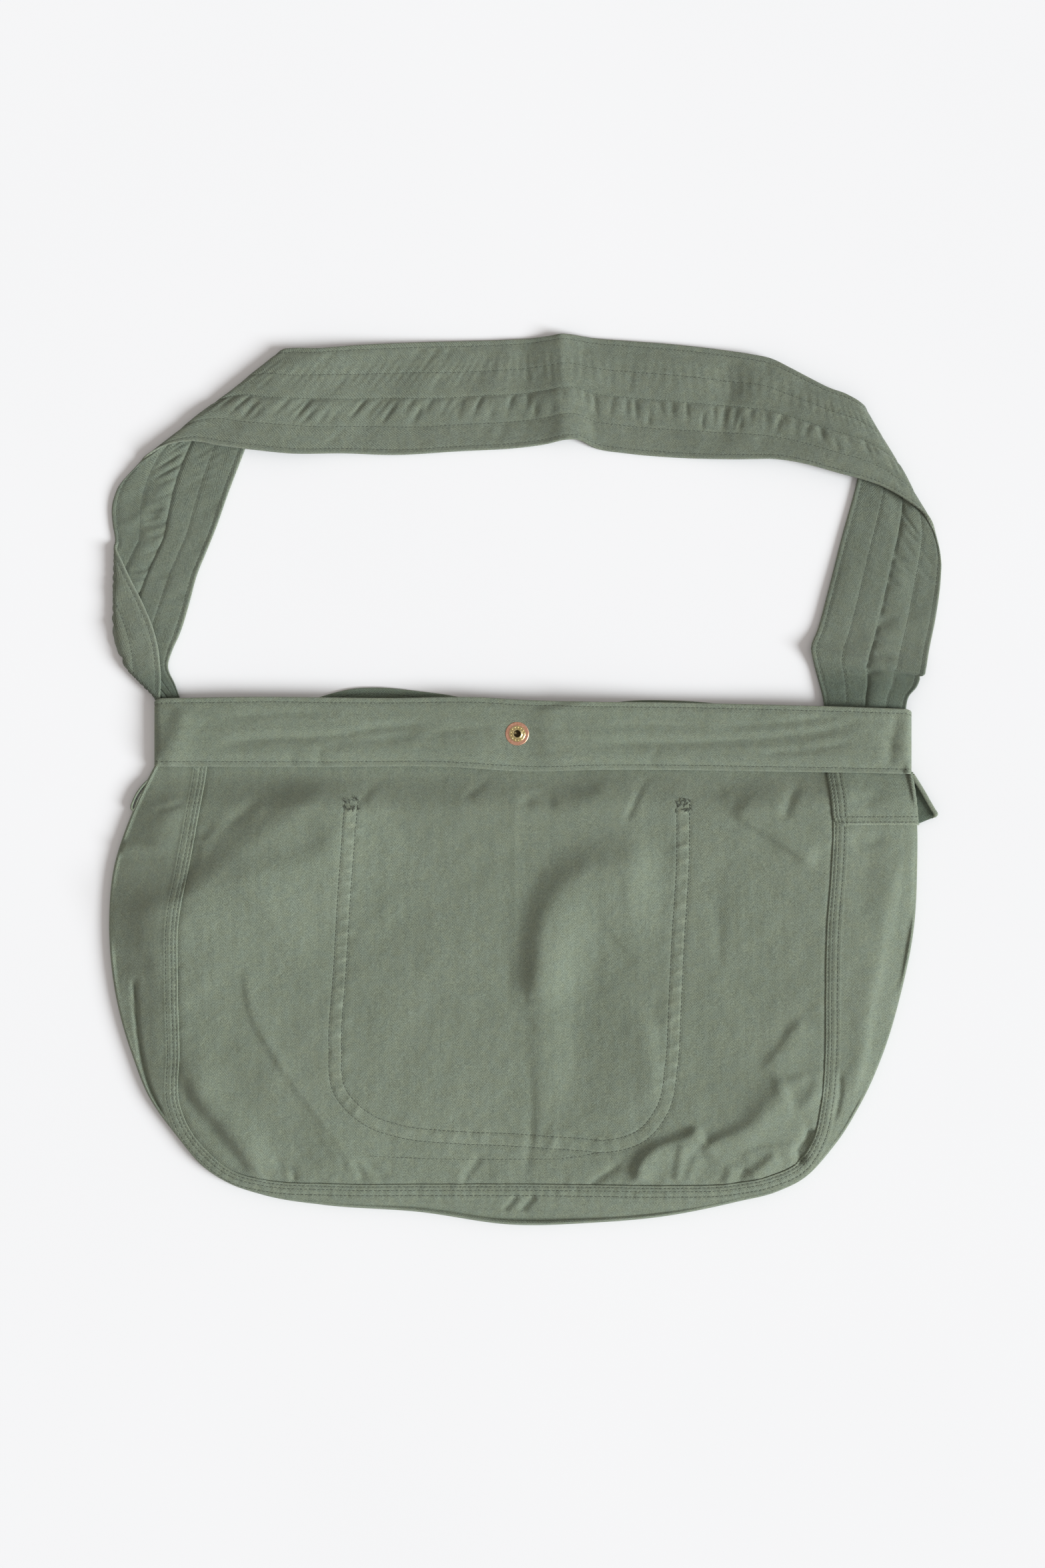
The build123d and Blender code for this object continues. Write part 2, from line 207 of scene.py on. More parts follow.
# Ridges (+) and grooves (-) of the draped front: curve, height, spread to its left and to
# its right at both ends, and how soft the ends are.
DRAPES = [
    ([(-256, 32), (-214, 37), (-191, 52), (-170, 70), (-144, 90), (-98, 112)], 7.2, (12, 21), (50, 40), 0.2),
    ([(-190, 40), (-166, 54), (-146, 60), (-128, 64), (-114, 77), (-102, 94),
     (-80, 114)], 3.4, (9, 14), (42, 44), 0.25),
    ([(-216, 44), (-206, 60), (-198, 80)], -0.9, (2.5, 2.5), (3, 3), 0.3),
    ([(-205, 62), (-196, 78), (-184, 92)], 0.9, (3, 3), (4, 4), 0.3),
    ([(-190, 84), (-178, 92), (-160, 108)], -0.9, (3, 3), (4, 4), 0.3),
    ([(14, -34), (17, 0), (21, 22), (28, 40), (41, 53), (62, 60), (98, 62)], 6.6, (8, 18), (18, 40), 0.18),
    ([(16, -118), (18, -60), (20, -20), (24, 16)], 1.1, (10, 10), (14, 18), 0.3),
    ([(40, -112), (42, -60), (43, -10), (54, 34)], -2.3, (14, 14), (22, 24), 0.3),
    ([(78, -20), (86, -55), (88, -80), (78, -100)], 1.5, (7, 7), (12, 9), 0.3),
    ([(4, -20), (10, -24), (16, -20)], -0.8, (2, 2), (2, 2), 0.2),
    ([(0, -32), (8, -36), (14, -44)], -0.7, (2, 2), (2, 2), 0.2),
    ([(-172, -2), (-168, -30), (-157, -54), (-139, -80), (-124, -100), (-109, -122),
     (-101, -138)], 1.0, (7, 7), (1.2, 1.2), 0.08),
    ([(-163, -40), (-154, -56), (-143, -72)], 0.55, (4, 4), (1.1, 1.1), 0.3),
    ([(-129, -98), (-120, -114), (-108, -132)], 0.6, (4, 4), (1.4, 1.4), 0.3),
    ([(-211, -56), (-200, -82), (-187, -98), (-173, -116), (-163, -130), (-157, -141)], 4.4, (12, 12),
     (8, 9), 0.28),
    ([(-215, -72), (-206, -90), (-194, -104), (-180, -121), (-168, -137)], -2.2, (4, 4), (5, 5), 0.16),
    ([(-154, -124), (-149, -130), (-143, -131), (-140, -141)], -1.5, (1.8, 1.8), (1.8, 1.8), 0.15),
    ([(-143, -120), (-134, -124), (-122, -130)], -0.9, (2.4, 2.4), (3, 3), 0.3),
    ([(-102, -126), (-98, -134), (-95, -141)], -1.2, (1.6, 1.6), (1.6, 1.6), 0.2),
    ([(-95, -126), (-88, -133), (-80, -139)], -1.2, (1.8, 1.8), (1.8, 1.8), 0.2),
    ([(11, -56), (12, -88), (11, -114), (7, -143)], -0.8, (2.8, 2.8), (3.4, 2.8), 0.25),
    ([(-20, -122), (-26, -131), (-34, -142)], -1.3, (2.4, 2.4), (2.4, 2.4), 0.2),
    ([(80, -142), (81, -130), (88, -121), (100, -115), (110, -112), (121, -105)], 4.2, (3.2, 3.2),
     (9, 11), 0.1),
    ([(104, -141), (106, -126), (108, -114)], 1.6, (1.6, 1.6), (5, 5), 0.15),
    ([(111, -141), (114, -131), (120, -122)], 1.1, (1.8, 1.8), (4, 4), 0.2),
    ([(119, -122), (130, -114), (141, -110), (151, -105), (160, -96), (167, -89),
     (180, -83)], 3.2, (1.6, 10), (12, 10), 0.12),
    ([(164, -77), (176, -76), (191, -72)], 1.6, (3, 3), (8, 8), 0.25),
    ([(155, -70), (163, -65), (171, -56), (179, -44), (190, -34)], 1.7, (3, 3), (12, 12), 0.25),
    ([(196, -72), (191, -84), (182, -97)], 1.6, (5, 5), (4, 4), 0.3),
    ([(143, -124), (158, -119.5), (176, -116.5), (187, -119)], 0.9, (1.4, 1.4), (7, 7), 0.2),
    ([(151, -137), (160, -130), (169, -121)], 2.2, (2.6, 2.6), (6, 6), 0.15),
    ([(145, -140), (147, -135), (150, -131)], -1.4, (1.6, 1.6), (1.6, 1.6), 0.2),
    ([(136, -141), (138, -135), (139, -130)], 1.3, (1.5, 1.5), (4, 4), 0.2),
    ([(191, -104), (188, -114), (183, -121), (187, -130)], -3.4, (3, 3), (3, 3), 0.15),
    ([(70, -128), (60, -135), (48, -143)], -1.7, (2, 2), (2, 2), 0.2),
    ([(138, 99), (156, 87), (172, 77), (194, 62)], 2.4, (16, 14), (2.6, 2.6), 0.16),
    ([(184, 116), (177, 104), (174, 90)], -1.9, (3, 3), (4, 4), 0.25),
    ([(128, 46), (131, 20), (131, -8)], -0.8, (4, 4), (4, 4), 0.3),
    ([(4, 101), (14, 107), (30, 101)], -1.9, (3, 3), (4, 4), 0.25),
    ([(88, 125), (80, 107), (72, 90)], -1.4, (1.6, 1.6), (2.2, 2.2), 0.15),
    ([(-10, 126), (-20, 115), (-33, 105)], -1.7, (3, 2.4), (3, 2.6), 0.2),
    ([(22, 121), (36, 115), (56, 113)], -1.6, (2.8, 2.8), (4, 4), 0.25),
    ([(-78, 122), (-92, 112), (-100, 98)], -1.4, (3, 3), (4, 4), 0.25),
    ([(112, 120), (124, 112), (140, 110)], -1.4, (3, 3), (4, 4), 0.25),
    ([(-230, 98), (-222, 99), (-211, 103)], -1.3, (1.5, 1.5), (1.8, 1.8), 0.25),
    ([(-226, 118), (-222, 110), (-214, 106)], -0.9, (1.6, 1.6), (1.8, 1.8), 0.25),
    ([(-238, 76), (-222, 92), (-212, 112)], 1.6, (10, 8), (10, 10), 0.3),
    ([(3, -149), (-2, -155), (-7, -160)], -1.5, (1.9, 1.9), (1.9, 1.9), 0.15),
    ([(14, -149), (9, -155), (4, -160)], -1.7, (2.1, 2.1), (2.1, 2.1), 0.15),
    ([(248, 76), (240, 38), (234.5, 5), (228, -25), (223, -60), (215, -92)], 2.1, (5, 4), (14, 8), 0.15),
    ([(209, -68), (209.5, -84), (206, -102)], -1.6, (2, 2), (2.4, 2.4), 0.2),
    ([(-243, -6), (-242, -34), (-238.5, -62), (-233, -82), (-224, -100)], -2.4, (1.4, 1.4), (1.4, 1.4), 0.1),
    ([(240, 84), (226, 76), (214, 84)], -1.2, (4, 4), (5, 5), 0.3),
    ([(236, 112), (226, 104), (214, 106)], -1.2, (4, 4), (4, 4), 0.3),
]


def small_puckers(line, count, side, reach, seed):
    """Short random ridges that leave a stitched line on one side of it."""
    pick = np.random.default_rng(seed)
    total = knots(line)[-1]
    out = []
    for place in np.sort(pick.uniform(0.03, 0.97, count)) * total:
        here, ahead = along(line, [place, min(place + 1, total)])[:, :2]
        way = (ahead - here) / max(np.linalg.norm(ahead - here), 1e-6)
        across = np.array([-way[1], way[0]]) * side
        lean = pick.uniform(-0.8, 0.8)
        end = here + (across + way * lean) * reach * pick.uniform(0.5, 1.3)
        out.append((here, end, pick.uniform(-0.5, 1.0), pick.uniform(1.6, 3.6)))
    return out


def add_puckers(x, y, ridges):
    """Height of many short straight ridges, each highest at its first end."""
    out = np.zeros(np.shape(x))
    for here, end, height, spread in ridges:
        step = end - here
        f = ((x - here[0]) * step[0] + (y - here[1]) * step[1]) / (step @ step)
        gap = np.hypot(x - here[0] - np.clip(f, 0, 1) * step[0], y - here[1] - np.clip(f, 0, 1) * step[1])
        out += height * np.exp(-(gap / spread) ** 2) * (1 - ease(f, 0.1, 1))
    return out


seam_puckers = small_puckers(seam_line, 90, 1, 15, 11)
pocket_line = dense(POCKET_ROW, 2.0)
pocket_total = knots(pocket_line)[-1]
pocket_puckers = small_puckers(pocket_line, 70, 1, 9, 12) + small_puckers(pocket_line, 60, -1, 17, 13)


def belly(x, y):
    """Height of the outside of the front, without seams and stitches."""
    x, y = np.asarray(x, float), np.asarray(y, float)
    inside = np.maximum(beside(crease_line, x, y)[1], 0)
    top = 2 * FOLD + 0.5
    z = top + (CREST - top) * (1 - np.exp(-np.maximum(inside - FOLD, 0) / 24))
    z = z - 3.2 * np.exp(-((x - 4) / 90) ** 2) * ease(-y, 30, 150)
    z = z + 1.2 * clouds(x, y, 85, 3) * ease(inside, 8, 60) + 0.6 * clouds(x, y, 34, 4) * ease(inside, 4, 30)
    crumple = 0.8 * clouds(x, y, 15, 5) * np.abs(clouds(x, y, 60, 6)) + 0.12 * clouds(x, y * 0.6, 7, 8)
    z = z + crumple * ease(inside, 2, 12)
    for points, height, left, right, soft in DRAPES:
        z = z + fold(x, y, points, height, left, right, soft)
    z = z + 0.35 * np.exp(-((x - 1) / 1.6) ** 2) * ease(y, -30, -5) * (1 - ease(y, 100, 120))
    z = z - 0.25 * np.exp(-((x - 9) / 5.0) ** 2) * (1 - ease(y, -60, -30))
    near_band = ease(y - 4 * clouds(x, 0 * x, 38, 9), 98, 124)
    return z * (1 - near_band) + near_band * np.maximum(band_height(x) - 4.4, 4.3)


def band_height(x):
    """Height of the middle of the front band's thickness."""
    x = np.asarray(x, float)
    edge = np.minimum(x - BAND_LEFT, BAND_RIGHT - x)
    middle = BAND_TOP_Z - 0.9
    wave = 0.7 * np.sin(x / 33.0 + 0.4) * ease(np.abs(x - SNAP[0]), 10, 60)
    return middle + wave - (middle - 2 * FOLD - 2.0) * np.exp(-np.maximum(edge, 0) / 26)


# ---- meshes ------------------------------------------------------------------------------------
def new_object(name, points, faces, uv=None):
    """A smooth-shaded mesh from points in millimetres. uv is one pair for each point."""
    mesh = bpy.data.meshes.new(name)
    mesh.from_pydata((np.asarray(points, float) * MM).tolist(), [], faces)
    mesh.validate()
    if uv is not None:
        layer = mesh.uv_layers.new(name="cloth")
        order = np.empty(len(mesh.loops), int)
        mesh.loops.foreach_get("vertex_index", order)
        layer.data.foreach_set("uv", (np.asarray(uv, float)[order] * MM).ravel())
    mesh.polygons.foreach_set("use_smooth", [True] * len(mesh.polygons))
    obj = bpy.data.objects.new(name, mesh)
    bpy.context.scene.collection.objects.link(obj)
    return obj


def grid_faces(rows, columns, close_rows=False, close_columns=False):
    """Quads of a grid of points stored row by row."""
    faces = []
    for i in range(rows if close_rows else rows - 1):
        for j in range(columns if close_columns else columns - 1):
            a, b = i * columns, ((i + 1) % rows) * columns
            k = (j + 1) % columns
            faces.append((a + j, a + k, b + k, b + j))
    return faces


def apply_modifiers(obj):
    """Puts the result of an object's modifiers into its mesh."""
    ready = obj.evaluated_get(bpy.context.evaluated_depsgraph_get())
    mesh = bpy.data.meshes.new_from_object(ready)
    obj.modifiers.clear()
    obj.data = mesh
    return obj


def thicken(obj, thickness, offset=-1.0):
    """Gives an open sheet its thickness, below the side that its normals point from."""
    solid = obj.modifiers.new("thickness", "SOLIDIFY")
    solid.thickness = thickness * MM
    solid.offset = offset
    solid.use_even_offset = False
    return apply_modifiers(obj)


def grid_normals(grid):
    """Unit normals of a grid of points: rows run along, columns run across."""
    ahead = np.gradient(grid, axis=0)
    across = np.gradient(grid, axis=1)
    normal = np.cross(across, ahead)
    return normal / np.maximum(np.linalg.norm(normal, axis=2, keepdims=True), 1e-9)


def loop_mesh(name, outside, inside, uv_out, uv_in, close_rows=False):
    """A closed cloth body: its outer and inner faces, joined round both long edges."""
    rings = np.concatenate([outside, inside[:, ::-1]], axis=1)
    uv = np.concatenate([uv_out, uv_in[:, ::-1]], axis=1)
    rows, columns = rings.shape[:2]
    faces = grid_faces(rows, columns, close_rows, True)
    if not close_rows:
        faces.append(tuple(range(columns - 1, -1, -1)))
        faces.append(tuple((rows - 1) * columns + k for k in range(columns)))
    return new_object(name, rings.reshape(-1, 3), faces, uv.reshape(-1, 2))


# ---- stitches ------------------------------------------------------------------------------------
class Stitches:
    """Rows of thread stitches, gathered into one mesh."""

    def __init__(self, name, seed):
        self.name, self.points, self.faces = name, [], []
        self.pick = np.random.default_rng(seed)
        ring = [(math.cos(math.pi * k / 3), math.sin(math.pi * k / 3)) for k in range(6)]
        stations = ((-0.5, 0.25), (-0.36, 0.8), (0.0, 1.0), (0.36, 0.8), (0.5, 0.25))
        self.shape = np.array([(a, r * c, r * s) for a, r in stations for c, s in ring])
        self.pattern = [f[::-1] for f in grid_faces(5, 6, False, True)] + [tuple(range(6))]
        self.pattern += [tuple(range(29, 23, -1))]

    def add(self, place, way, up, length=2.0, width=0.5):
        """One stitch, centred at a place, along a way, lying on a surface that faces up."""
        way = way / max(np.linalg.norm(way), 1e-9)
        side = np.cross(up, way)
        side = side / max(np.linalg.norm(side), 1e-9)
        rise = np.cross(way, side)
        turn = self.pick.normal(0, 0.07)
        way, side = way + side * turn, side - way * turn
        length = length * self.pick.uniform(0.86, 1.08)
        first = sum(len(p) for p in self.points)
        local = self.shape * (length, width / 2, width * 0.42)
        self.points.append(place + local[:, :1] * way + local[:, 1:2] * side + local[:, 2:] * rise)
        self.faces += [tuple(k + first for k in face) for face in self.pattern]

    def row(self, places, normals, lift=0.05, length=2.0, width=0.5):
        """Stitches at even steps along a line of places with surface normals."""
        places, normals = np.asarray(places), np.asarray(normals)
        run = knots(places)
        for at in np.arange(STITCH / 2, run[-1], STITCH):
            i = min(np.searchsorted(run, at, side="right") - 1, len(run) - 2)
            f = (at - run[i]) / (run[i + 1] - run[i])
            place = places[i] * (1 - f) + places[i + 1] * f
            up = normals[i] * (1 - f) + normals[i + 1] * f
            up = up / np.linalg.norm(up)
            self.add(place + up * lift, places[i + 1] - places[i], up, length, width)

    def build(self):
        points = np.concatenate(self.points)
        obj = new_object(self.name, points, self.faces, points[:, :2])
        obj.data.materials.append(materials["thread"])
        return obj


# ---- materials ---------------------------------------------------------------------------------
class Nodes:
    """Short names for building a material's nodes."""

    def __init__(self, name):
        self.material = bpy.data.materials.new(name)
        self.material.use_nodes = True
        self.tree = self.material.node_tree
        self.shader = self.tree.nodes["Principled BSDF"]

    def link(self, source, target):
        self.tree.links.new(source, target)

    def add(self, kind, **settings):
        node = self.tree.nodes.new(kind)
        for key, value in settings.items():
            setattr(node, key, value)
        return node

    def math(self, operation, first, second=None, third=None):
        node = self.add("ShaderNodeMath", operation=operation)
        for socket, value in zip(node.inputs, (first, second, third)):
            if value is None:
                continue
            if isinstance(value, (int, float)):
                socket.default_value = value
            else:
                self.link(value, socket)
        return node.outputs[0]

    def noise(self, vector, scale, detail=2.0, rough=0.5):
        node = self.add("ShaderNodeTexNoise")
        node.inputs["Scale"].default_value = scale
        node.inputs["Detail"].default_value = detail
        node.inputs["Roughness"].default_value = rough
        self.link(vector, node.inputs["Vector"])
        return node.outputs["Fac"]

    def mix(self, factor, first, second, blend="MIX"):
        node = self.add("ShaderNodeMix", data_type="RGBA", blend_type=blend)
        inputs = node.inputs
        for socket, value in ((inputs["Factor"], factor), (inputs["A"], first), (inputs["B"], second)):
            if isinstance(value, (int, float)):
                socket.default_value = value
            elif isinstance(value, tuple):
                socket.default_value = (*value, 1.0)
            else:
                self.link(value, socket)
        return node.outputs["Result"]

    def ramp(self, factor, stops):
        node = self.add("ShaderNodeValToRGB")
        while len(node.color_ramp.elements) < len(stops):
            node.color_ramp.elements.new(0.5)
        for element, (place, value) in zip(node.color_ramp.elements, stops):
            element.position = place
            element.color = (value, value, value, 1)
        self.link(factor, node.inputs["Fac"])
        return node.outputs["Color"]


def herringbone(name, base, relief=1.0):
    """Herringbone twill: columns of slanted ribs that turn back at each column's edge."""
    n = Nodes(name)
    place = n.add("ShaderNodeUVMap", uv_map="cloth").outputs["UV"]
    parts = n.add("ShaderNodeSeparateXYZ")
    n.link(place, parts.inputs["Vector"])
    solid = n.add("ShaderNodeTexCoord").outputs["Object"]
    wobble = n.math("MULTIPLY", n.math("SUBTRACT", n.noise(solid, 90, 2), 0.5), 0.0009)
    across = n.math("ADD", parts.outputs["X"], wobble)
    column = n.math("DIVIDE", across, COLUMN * MM)
    number = n.math("FLOOR", column)
    within = n.math("SUBTRACT", column, number)
    odd = n.math("FLOORED_MODULO", number, 2.0)
    slope = n.math("SUBTRACT", n.math("MULTIPLY", odd, 2.0), 1.0)
    slant = n.math("MULTIPLY", n.math("MULTIPLY", across, 1.87), slope)
    rib = n.math("MULTIPLY", n.math("ADD", parts.outputs["Y"], slant), 2 * math.pi / (1.8 * MM))
    wave = n.math("MULTIPLY_ADD", n.math("SINE", rib), 0.5, 0.5)
    middle = n.math("ABSOLUTE", n.math("SUBTRACT", within, 0.5))
    turn = n.math("GREATER_THAN", middle, 0.455)
    yarn = n.noise(solid, 2600, 2, 0.7)
    fibre = n.ramp(n.noise(solid, 1500, 3, 0.65), ((0.34, 0.0), (0.66, 1.0)))
    height = n.math("ADD", n.math("MULTIPLY", wave, 0.55), n.math("MULTIPLY", fibre, 0.6))
    height = n.math("SUBTRACT", height, n.math("MULTIPLY", turn, 0.15))
    bump = n.add("ShaderNodeBump")
    bump.inputs["Strength"].default_value = 0.55 * relief
    bump.inputs["Distance"].default_value = 0.00028
    n.link(height, bump.inputs["Height"])
    crumple = n.add("ShaderNodeBump")
    crumple.inputs["Strength"].default_value = 0.8
    crumple.inputs["Distance"].default_value = 0.0011
    n.link(n.noise(solid, 105, 3, 0.55), crumple.inputs["Height"])
    n.link(crumple.outputs["Normal"], bump.inputs["Normal"])
    n.link(bump.outputs["Normal"], n.shader.inputs["Normal"])

    dark = tuple(c * 0.42 for c in base)
    light = tuple(min(1, c * 1.58) for c in base)
    ribs = n.math("ADD", n.math("MULTIPLY", wave, 0.34), n.math("MULTIPLY", fibre, 0.42))
    ribs = n.math("ADD", ribs, n.math("MULTIPLY", yarn, 0.22))
    # Alternate columns are painted 2% lighter: a painted sheen for the way the two slants of the twill catch
    # the light.
    ribs = n.math("ADD", ribs, n.math("MULTIPLY", odd, 0.02))
    colour = n.mix(ribs, dark, light)
    stretched = n.add("ShaderNodeMapping")
    stretched.inputs["Scale"].default_value = (330, 13, 1)
    n.link(place, stretched.inputs["Vector"])
    streaks = n.ramp(n.noise(stretched.outputs["Vector"], 1, 3, 0.6), ((0.3, 0.0), (0.7, 1.0)))
    colour = n.mix(streaks, colour, n.mix(1.0, colour, (0.95, 0.95, 0.955), "MULTIPLY"))
    patches = n.ramp(n.noise(solid, 22, 3, 0.55), ((0.3, 0.0), (0.7, 1.0)))
    colour = n.mix(patches, colour, n.mix(1.0, colour, (0.92, 0.93, 0.92), "MULTIPLY"))
    hues = n.ramp(n.noise(solid, 210, 3, 0.6), ((0.36, 0.0), (0.64, 1.0)))
    warmer = n.mix(1.0, colour, (1.02, 1.005, 0.975), "MULTIPLY")
    cooler = n.mix(1.0, colour, (0.985, 1.0, 1.03), "MULTIPLY")
    tinted = n.mix(hues, warmer, cooler)
    heather = n.ramp(n.noise(solid, 520, 2, 0.6), ((0.36, 0.0), (0.64, 1.0)))
    colour = n.mix(heather, tinted, n.mix(1.0, tinted, (1.12, 1.11, 1.10), "MULTIPLY"))
    wear = n.add("ShaderNodeAttribute", attribute_name="wear").outputs["Fac"]
    faded = n.mix(1.0, colour, (1.30, 1.27, 1.26), "MULTIPLY")
    colour = n.mix(wear, colour, faded)
    # Darker, bluer tone where the cloth keeps its first dye, and painted shade where it lies in shade.
    unfaded_and_shade = n.add("ShaderNodeAttribute", attribute_name="unfaded_and_shade").outputs["Fac"]
    colour = n.mix(unfaded_and_shade, colour, n.mix(1.0, colour, (0.50, 0.58, 0.57), "MULTIPLY"))
    n.link(colour, n.shader.inputs["Base Color"])
    n.shader.inputs["Roughness"].default_value = 0.93
    n.shader.inputs["Specular IOR Level"].default_value = 0.18
    n.shader.inputs["Sheen Weight"].default_value = 0.12
    n.shader.inputs["Sheen Roughness"].default_value = 0.6
    return n.material


def thread_material():
    n = Nodes("thread")
    solid = n.add("ShaderNodeTexCoord").outputs["Object"]
    twist = n.noise(solid, 3000, 1)
    tone = n.noise(solid, 160, 2)
    colour = n.mix(tone, (0.046, 0.054, 0.042), (0.100, 0.115, 0.090))
    colour = n.mix(twist, colour, n.mix(1.0, colour, (1.5, 1.5, 1.4), "MULTIPLY"))
    n.link(colour, n.shader.inputs["Base Color"])
    n.shader.inputs["Roughness"].default_value = 0.8
    n.shader.inputs["Sheen Weight"].default_value = 0.1
    return n.material


def metal_material(name, base, rubbed, rough):
    n = Nodes(name)
    solid = n.add("ShaderNodeTexCoord").outputs["Object"]
    spots = n.ramp(n.noise(solid, 900, 4, 0.65), ((0.35, 0.0), (0.7, 1.0)))
    n.link(n.mix(spots, base, rubbed), n.shader.inputs["Base Color"])
    scuffs = n.noise(solid, 2400, 3, 0.6)
    bump = n.add("ShaderNodeBump")
    bump.inputs["Strength"].default_value = 0.25
    bump.inputs["Distance"].default_value = 0.00006
    n.link(scuffs, bump.inputs["Height"])
    n.link(bump.outputs["Normal"], n.shader.inputs["Normal"])
    n.link(n.math("MULTIPLY_ADD", spots, 0.18, rough), n.shader.inputs["Roughness"])
    n.shader.inputs["Metallic"].default_value = 1.0
    return n.material


OLIVE = (0.195, 0.227, 0.170)
materials = {
    "panel": herringbone("panel_twill", OLIVE),
    "gusset": herringbone("gusset_twill", tuple(c * 1.0 for c in OLIVE)),
    "band": herringbone("band_twill", OLIVE),
    "strap": herringbone("strap_twill", (0.172, 0.197, 0.150)),
    "thread": thread_material(),
    "copper": metal_material("copper", (0.66, 0.32, 0.21), (0.80, 0.50, 0.36), 0.40),
    "brass": metal_material("brass", (0.58, 0.46, 0.20), (0.80, 0.69, 0.40), 0.28),
    "patina": metal_material("patina", (0.030, 0.022, 0.012), (0.10, 0.075, 0.035), 0.42),
}


def paint_wear_and_shade(obj, wear, unfaded_and_shade=None):
    """Stores at each point how rubbed the cloth is, and how much darker it is painted: its unfaded dye, and
    painted shade.
    """
    for name, values in (("wear", wear), ("unfaded_and_shade", unfaded_and_shade)):
        if values is not None:
            layer = obj.data.attributes.new(name, "FLOAT", "POINT")
            layer.data.foreach_set("value", np.clip(values, 0, 1).astype(np.float32).ravel())


def finish_cloth(obj, material):
    obj.data.materials.clear()
    obj.data.materials.append(materials[material])
    return obj


# ---- front panel --------------------------------------------------------------------------------
PANEL_UNDER = 3.0      # how far the panel's edge is modelled under the gusset
PANEL_TOP = 131.0      # and how far up under the band


def stitch_groove(distance, depth=0.45, spread=0.9):
    return -depth * np.exp(-(distance / spread) ** 2)


def pocket_relief(x, y):
    """The stitched channel round the pocket: two grooves with cross puckers between."""
    s, d = beside(pocket_line, x, y)
    ends = ease(s, -1, 2) * (1 - ease(s, pocket_total - 2, pocket_total + 1))
    ends = np.where((s <= 0.01) | (s >= pocket_total - 0.01), np.exp(-(np.abs(d) / 2) ** 2), 1.0)
    between = ease(-d, -0.5, 1.2) * (1 - ease(-d, POCKET_GAP - 1.2, POCKET_GAP + 0.5))
    beat = np.sin(2 * math.pi * (s / 9.5 + 0.6 * clouds(s, 0 * s, 23, 31)))
    bump = np.maximum(beat, 0) ** 1.5
    upright = 1 - 0.75 * ease(s, 175, 215) * (1 - ease(s, pocket_total - 205, pocket_total - 165))
    ladder = upright * 0.75 * (bump - 0.35) * np.sin(np.clip(-d / POCKET_GAP, 0, 1) * math.pi)
    lift = 0.18 * between + ladder * between
    rows = stitch_groove(d, 0.38, 0.8)
    relief = ends * (lift + rows + stitch_groove(d + POCKET_GAP, 0.38, 0.8))
    return relief, ends * between, upright * bump


def front_surface(x, y):
    """Outside of the front panel, with its stitches."""
    z = belly(x, y)
    z = z + 0.7 * add_puckers(x, y, seam_puckers) + 0.6 * add_puckers(x, y, pocket_puckers)
    z = z + pocket_relief(x, y)[0]
    z = z + stitch_groove(beside(dense(POCKET_EXTRA), x, y)[1], 0.25, 0.9)
    return z - 0.75 * (1 - ease(beside(seam_line, x, y)[1], -0.6, 1.8))


def front_panel():
    fine = dense([p[:2] for p in SEAM_AND_CREASE], 2.2)
    way = np.gradient(fine, axis=0)
    way = way / np.linalg.norm(way, axis=1, keepdims=True)
    out = fine + np.stack([way[:, 1], -way[:, 0]], axis=1) * PANEL_UNDER
    out[:, 1] = np.minimum(out[:, 1], PANEL_TOP)
    top = np.stack([np.linspace(out[-1, 0], out[0, 0], 180)[1:-1], np.full(178, PANEL_TOP)], axis=1)
    edge = np.concatenate([out, [[out[-1, 0], PANEL_TOP]], top, [[out[0, 0], PANEL_TOP]]])
    step = 2.1
    xs, ys = np.meshgrid(np.arange(-228, 214, step), np.arange(-152, PANEL_TOP, step * 0.87))
    xs = xs + (np.arange(len(xs)) % 2)[:, None] * step / 2
    places = np.stack([xs.ravel(), ys.ravel()], axis=1)
    _, from_seam = beside(np.concatenate([edge, edge[:1]]), places[:, 0], places[:, 1])
    places = places[from_seam > 1.4]
    _, from_row = beside(pocket_line, places[:, 0], places[:, 1])
    places = places[(from_row > 2.6) | (from_row < -POCKET_GAP - 2.6)]
    rows = []
    fine_row = along(POCKET_ROW, np.arange(0, knots(POCKET_ROW)[-1], 1.3))
    way = np.gradient(fine_row, axis=0)
    way = way / np.linalg.norm(way, axis=1, keepdims=True)
    left = np.stack([-way[:, 1], way[:, 0]], axis=1)
    for offset in (1.9, 0.9, 0, -0.9, -2.2, -4.0, -5.8, -7.1, -8.0, -8.9, -9.9):
        rows.append(fine_row + left * offset)
    inner = np.concatenate([places] + rows)
    corners = np.concatenate([edge, inner])
    ring = [(i, (i + 1) % len(edge)) for i in range(len(edge))]
    flat = delaunay_2d_cdt([tuple(p) for p in corners], ring, [], 1, 1e-4)
    flat_points = np.array([tuple(p) for p in flat[0]])
    z = front_surface(flat_points[:, 0], flat_points[:, 1])
    points = np.column_stack([flat_points, z])
    panel = new_object("front_cloth", points, [tuple(f) for f in flat[2]], flat_points)
    _, between, beat = pocket_relief(points[:, 0], points[:, 1])
    wear = between * (0.10 + 0.46 * beat)
    paint_wear_and_shade(panel, np.clip(wear, 0, 1))
    thicken(panel, CLOTH)
    finish_cloth(panel, "panel")
    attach(panel, "front")
    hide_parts("front_panel")
    return panel


# ---- gusset --------------------------------------------------------------------------------------
gusset_stops = np.arange(0, knots(SEAM_AND_CREASE, slice(0, 2))[-1], 1.7)
gusset_pairs = along(SEAM_AND_CREASE, gusset_stops, slice(0, 2))
GUSSET_LAP = (0.0, 0.12, 0.5, 1.1, 1.7, 2.3, 3.1, 4.0, 4.8, 6.2, 7.6, 8.6, 9.4, 10.0, 10.8)


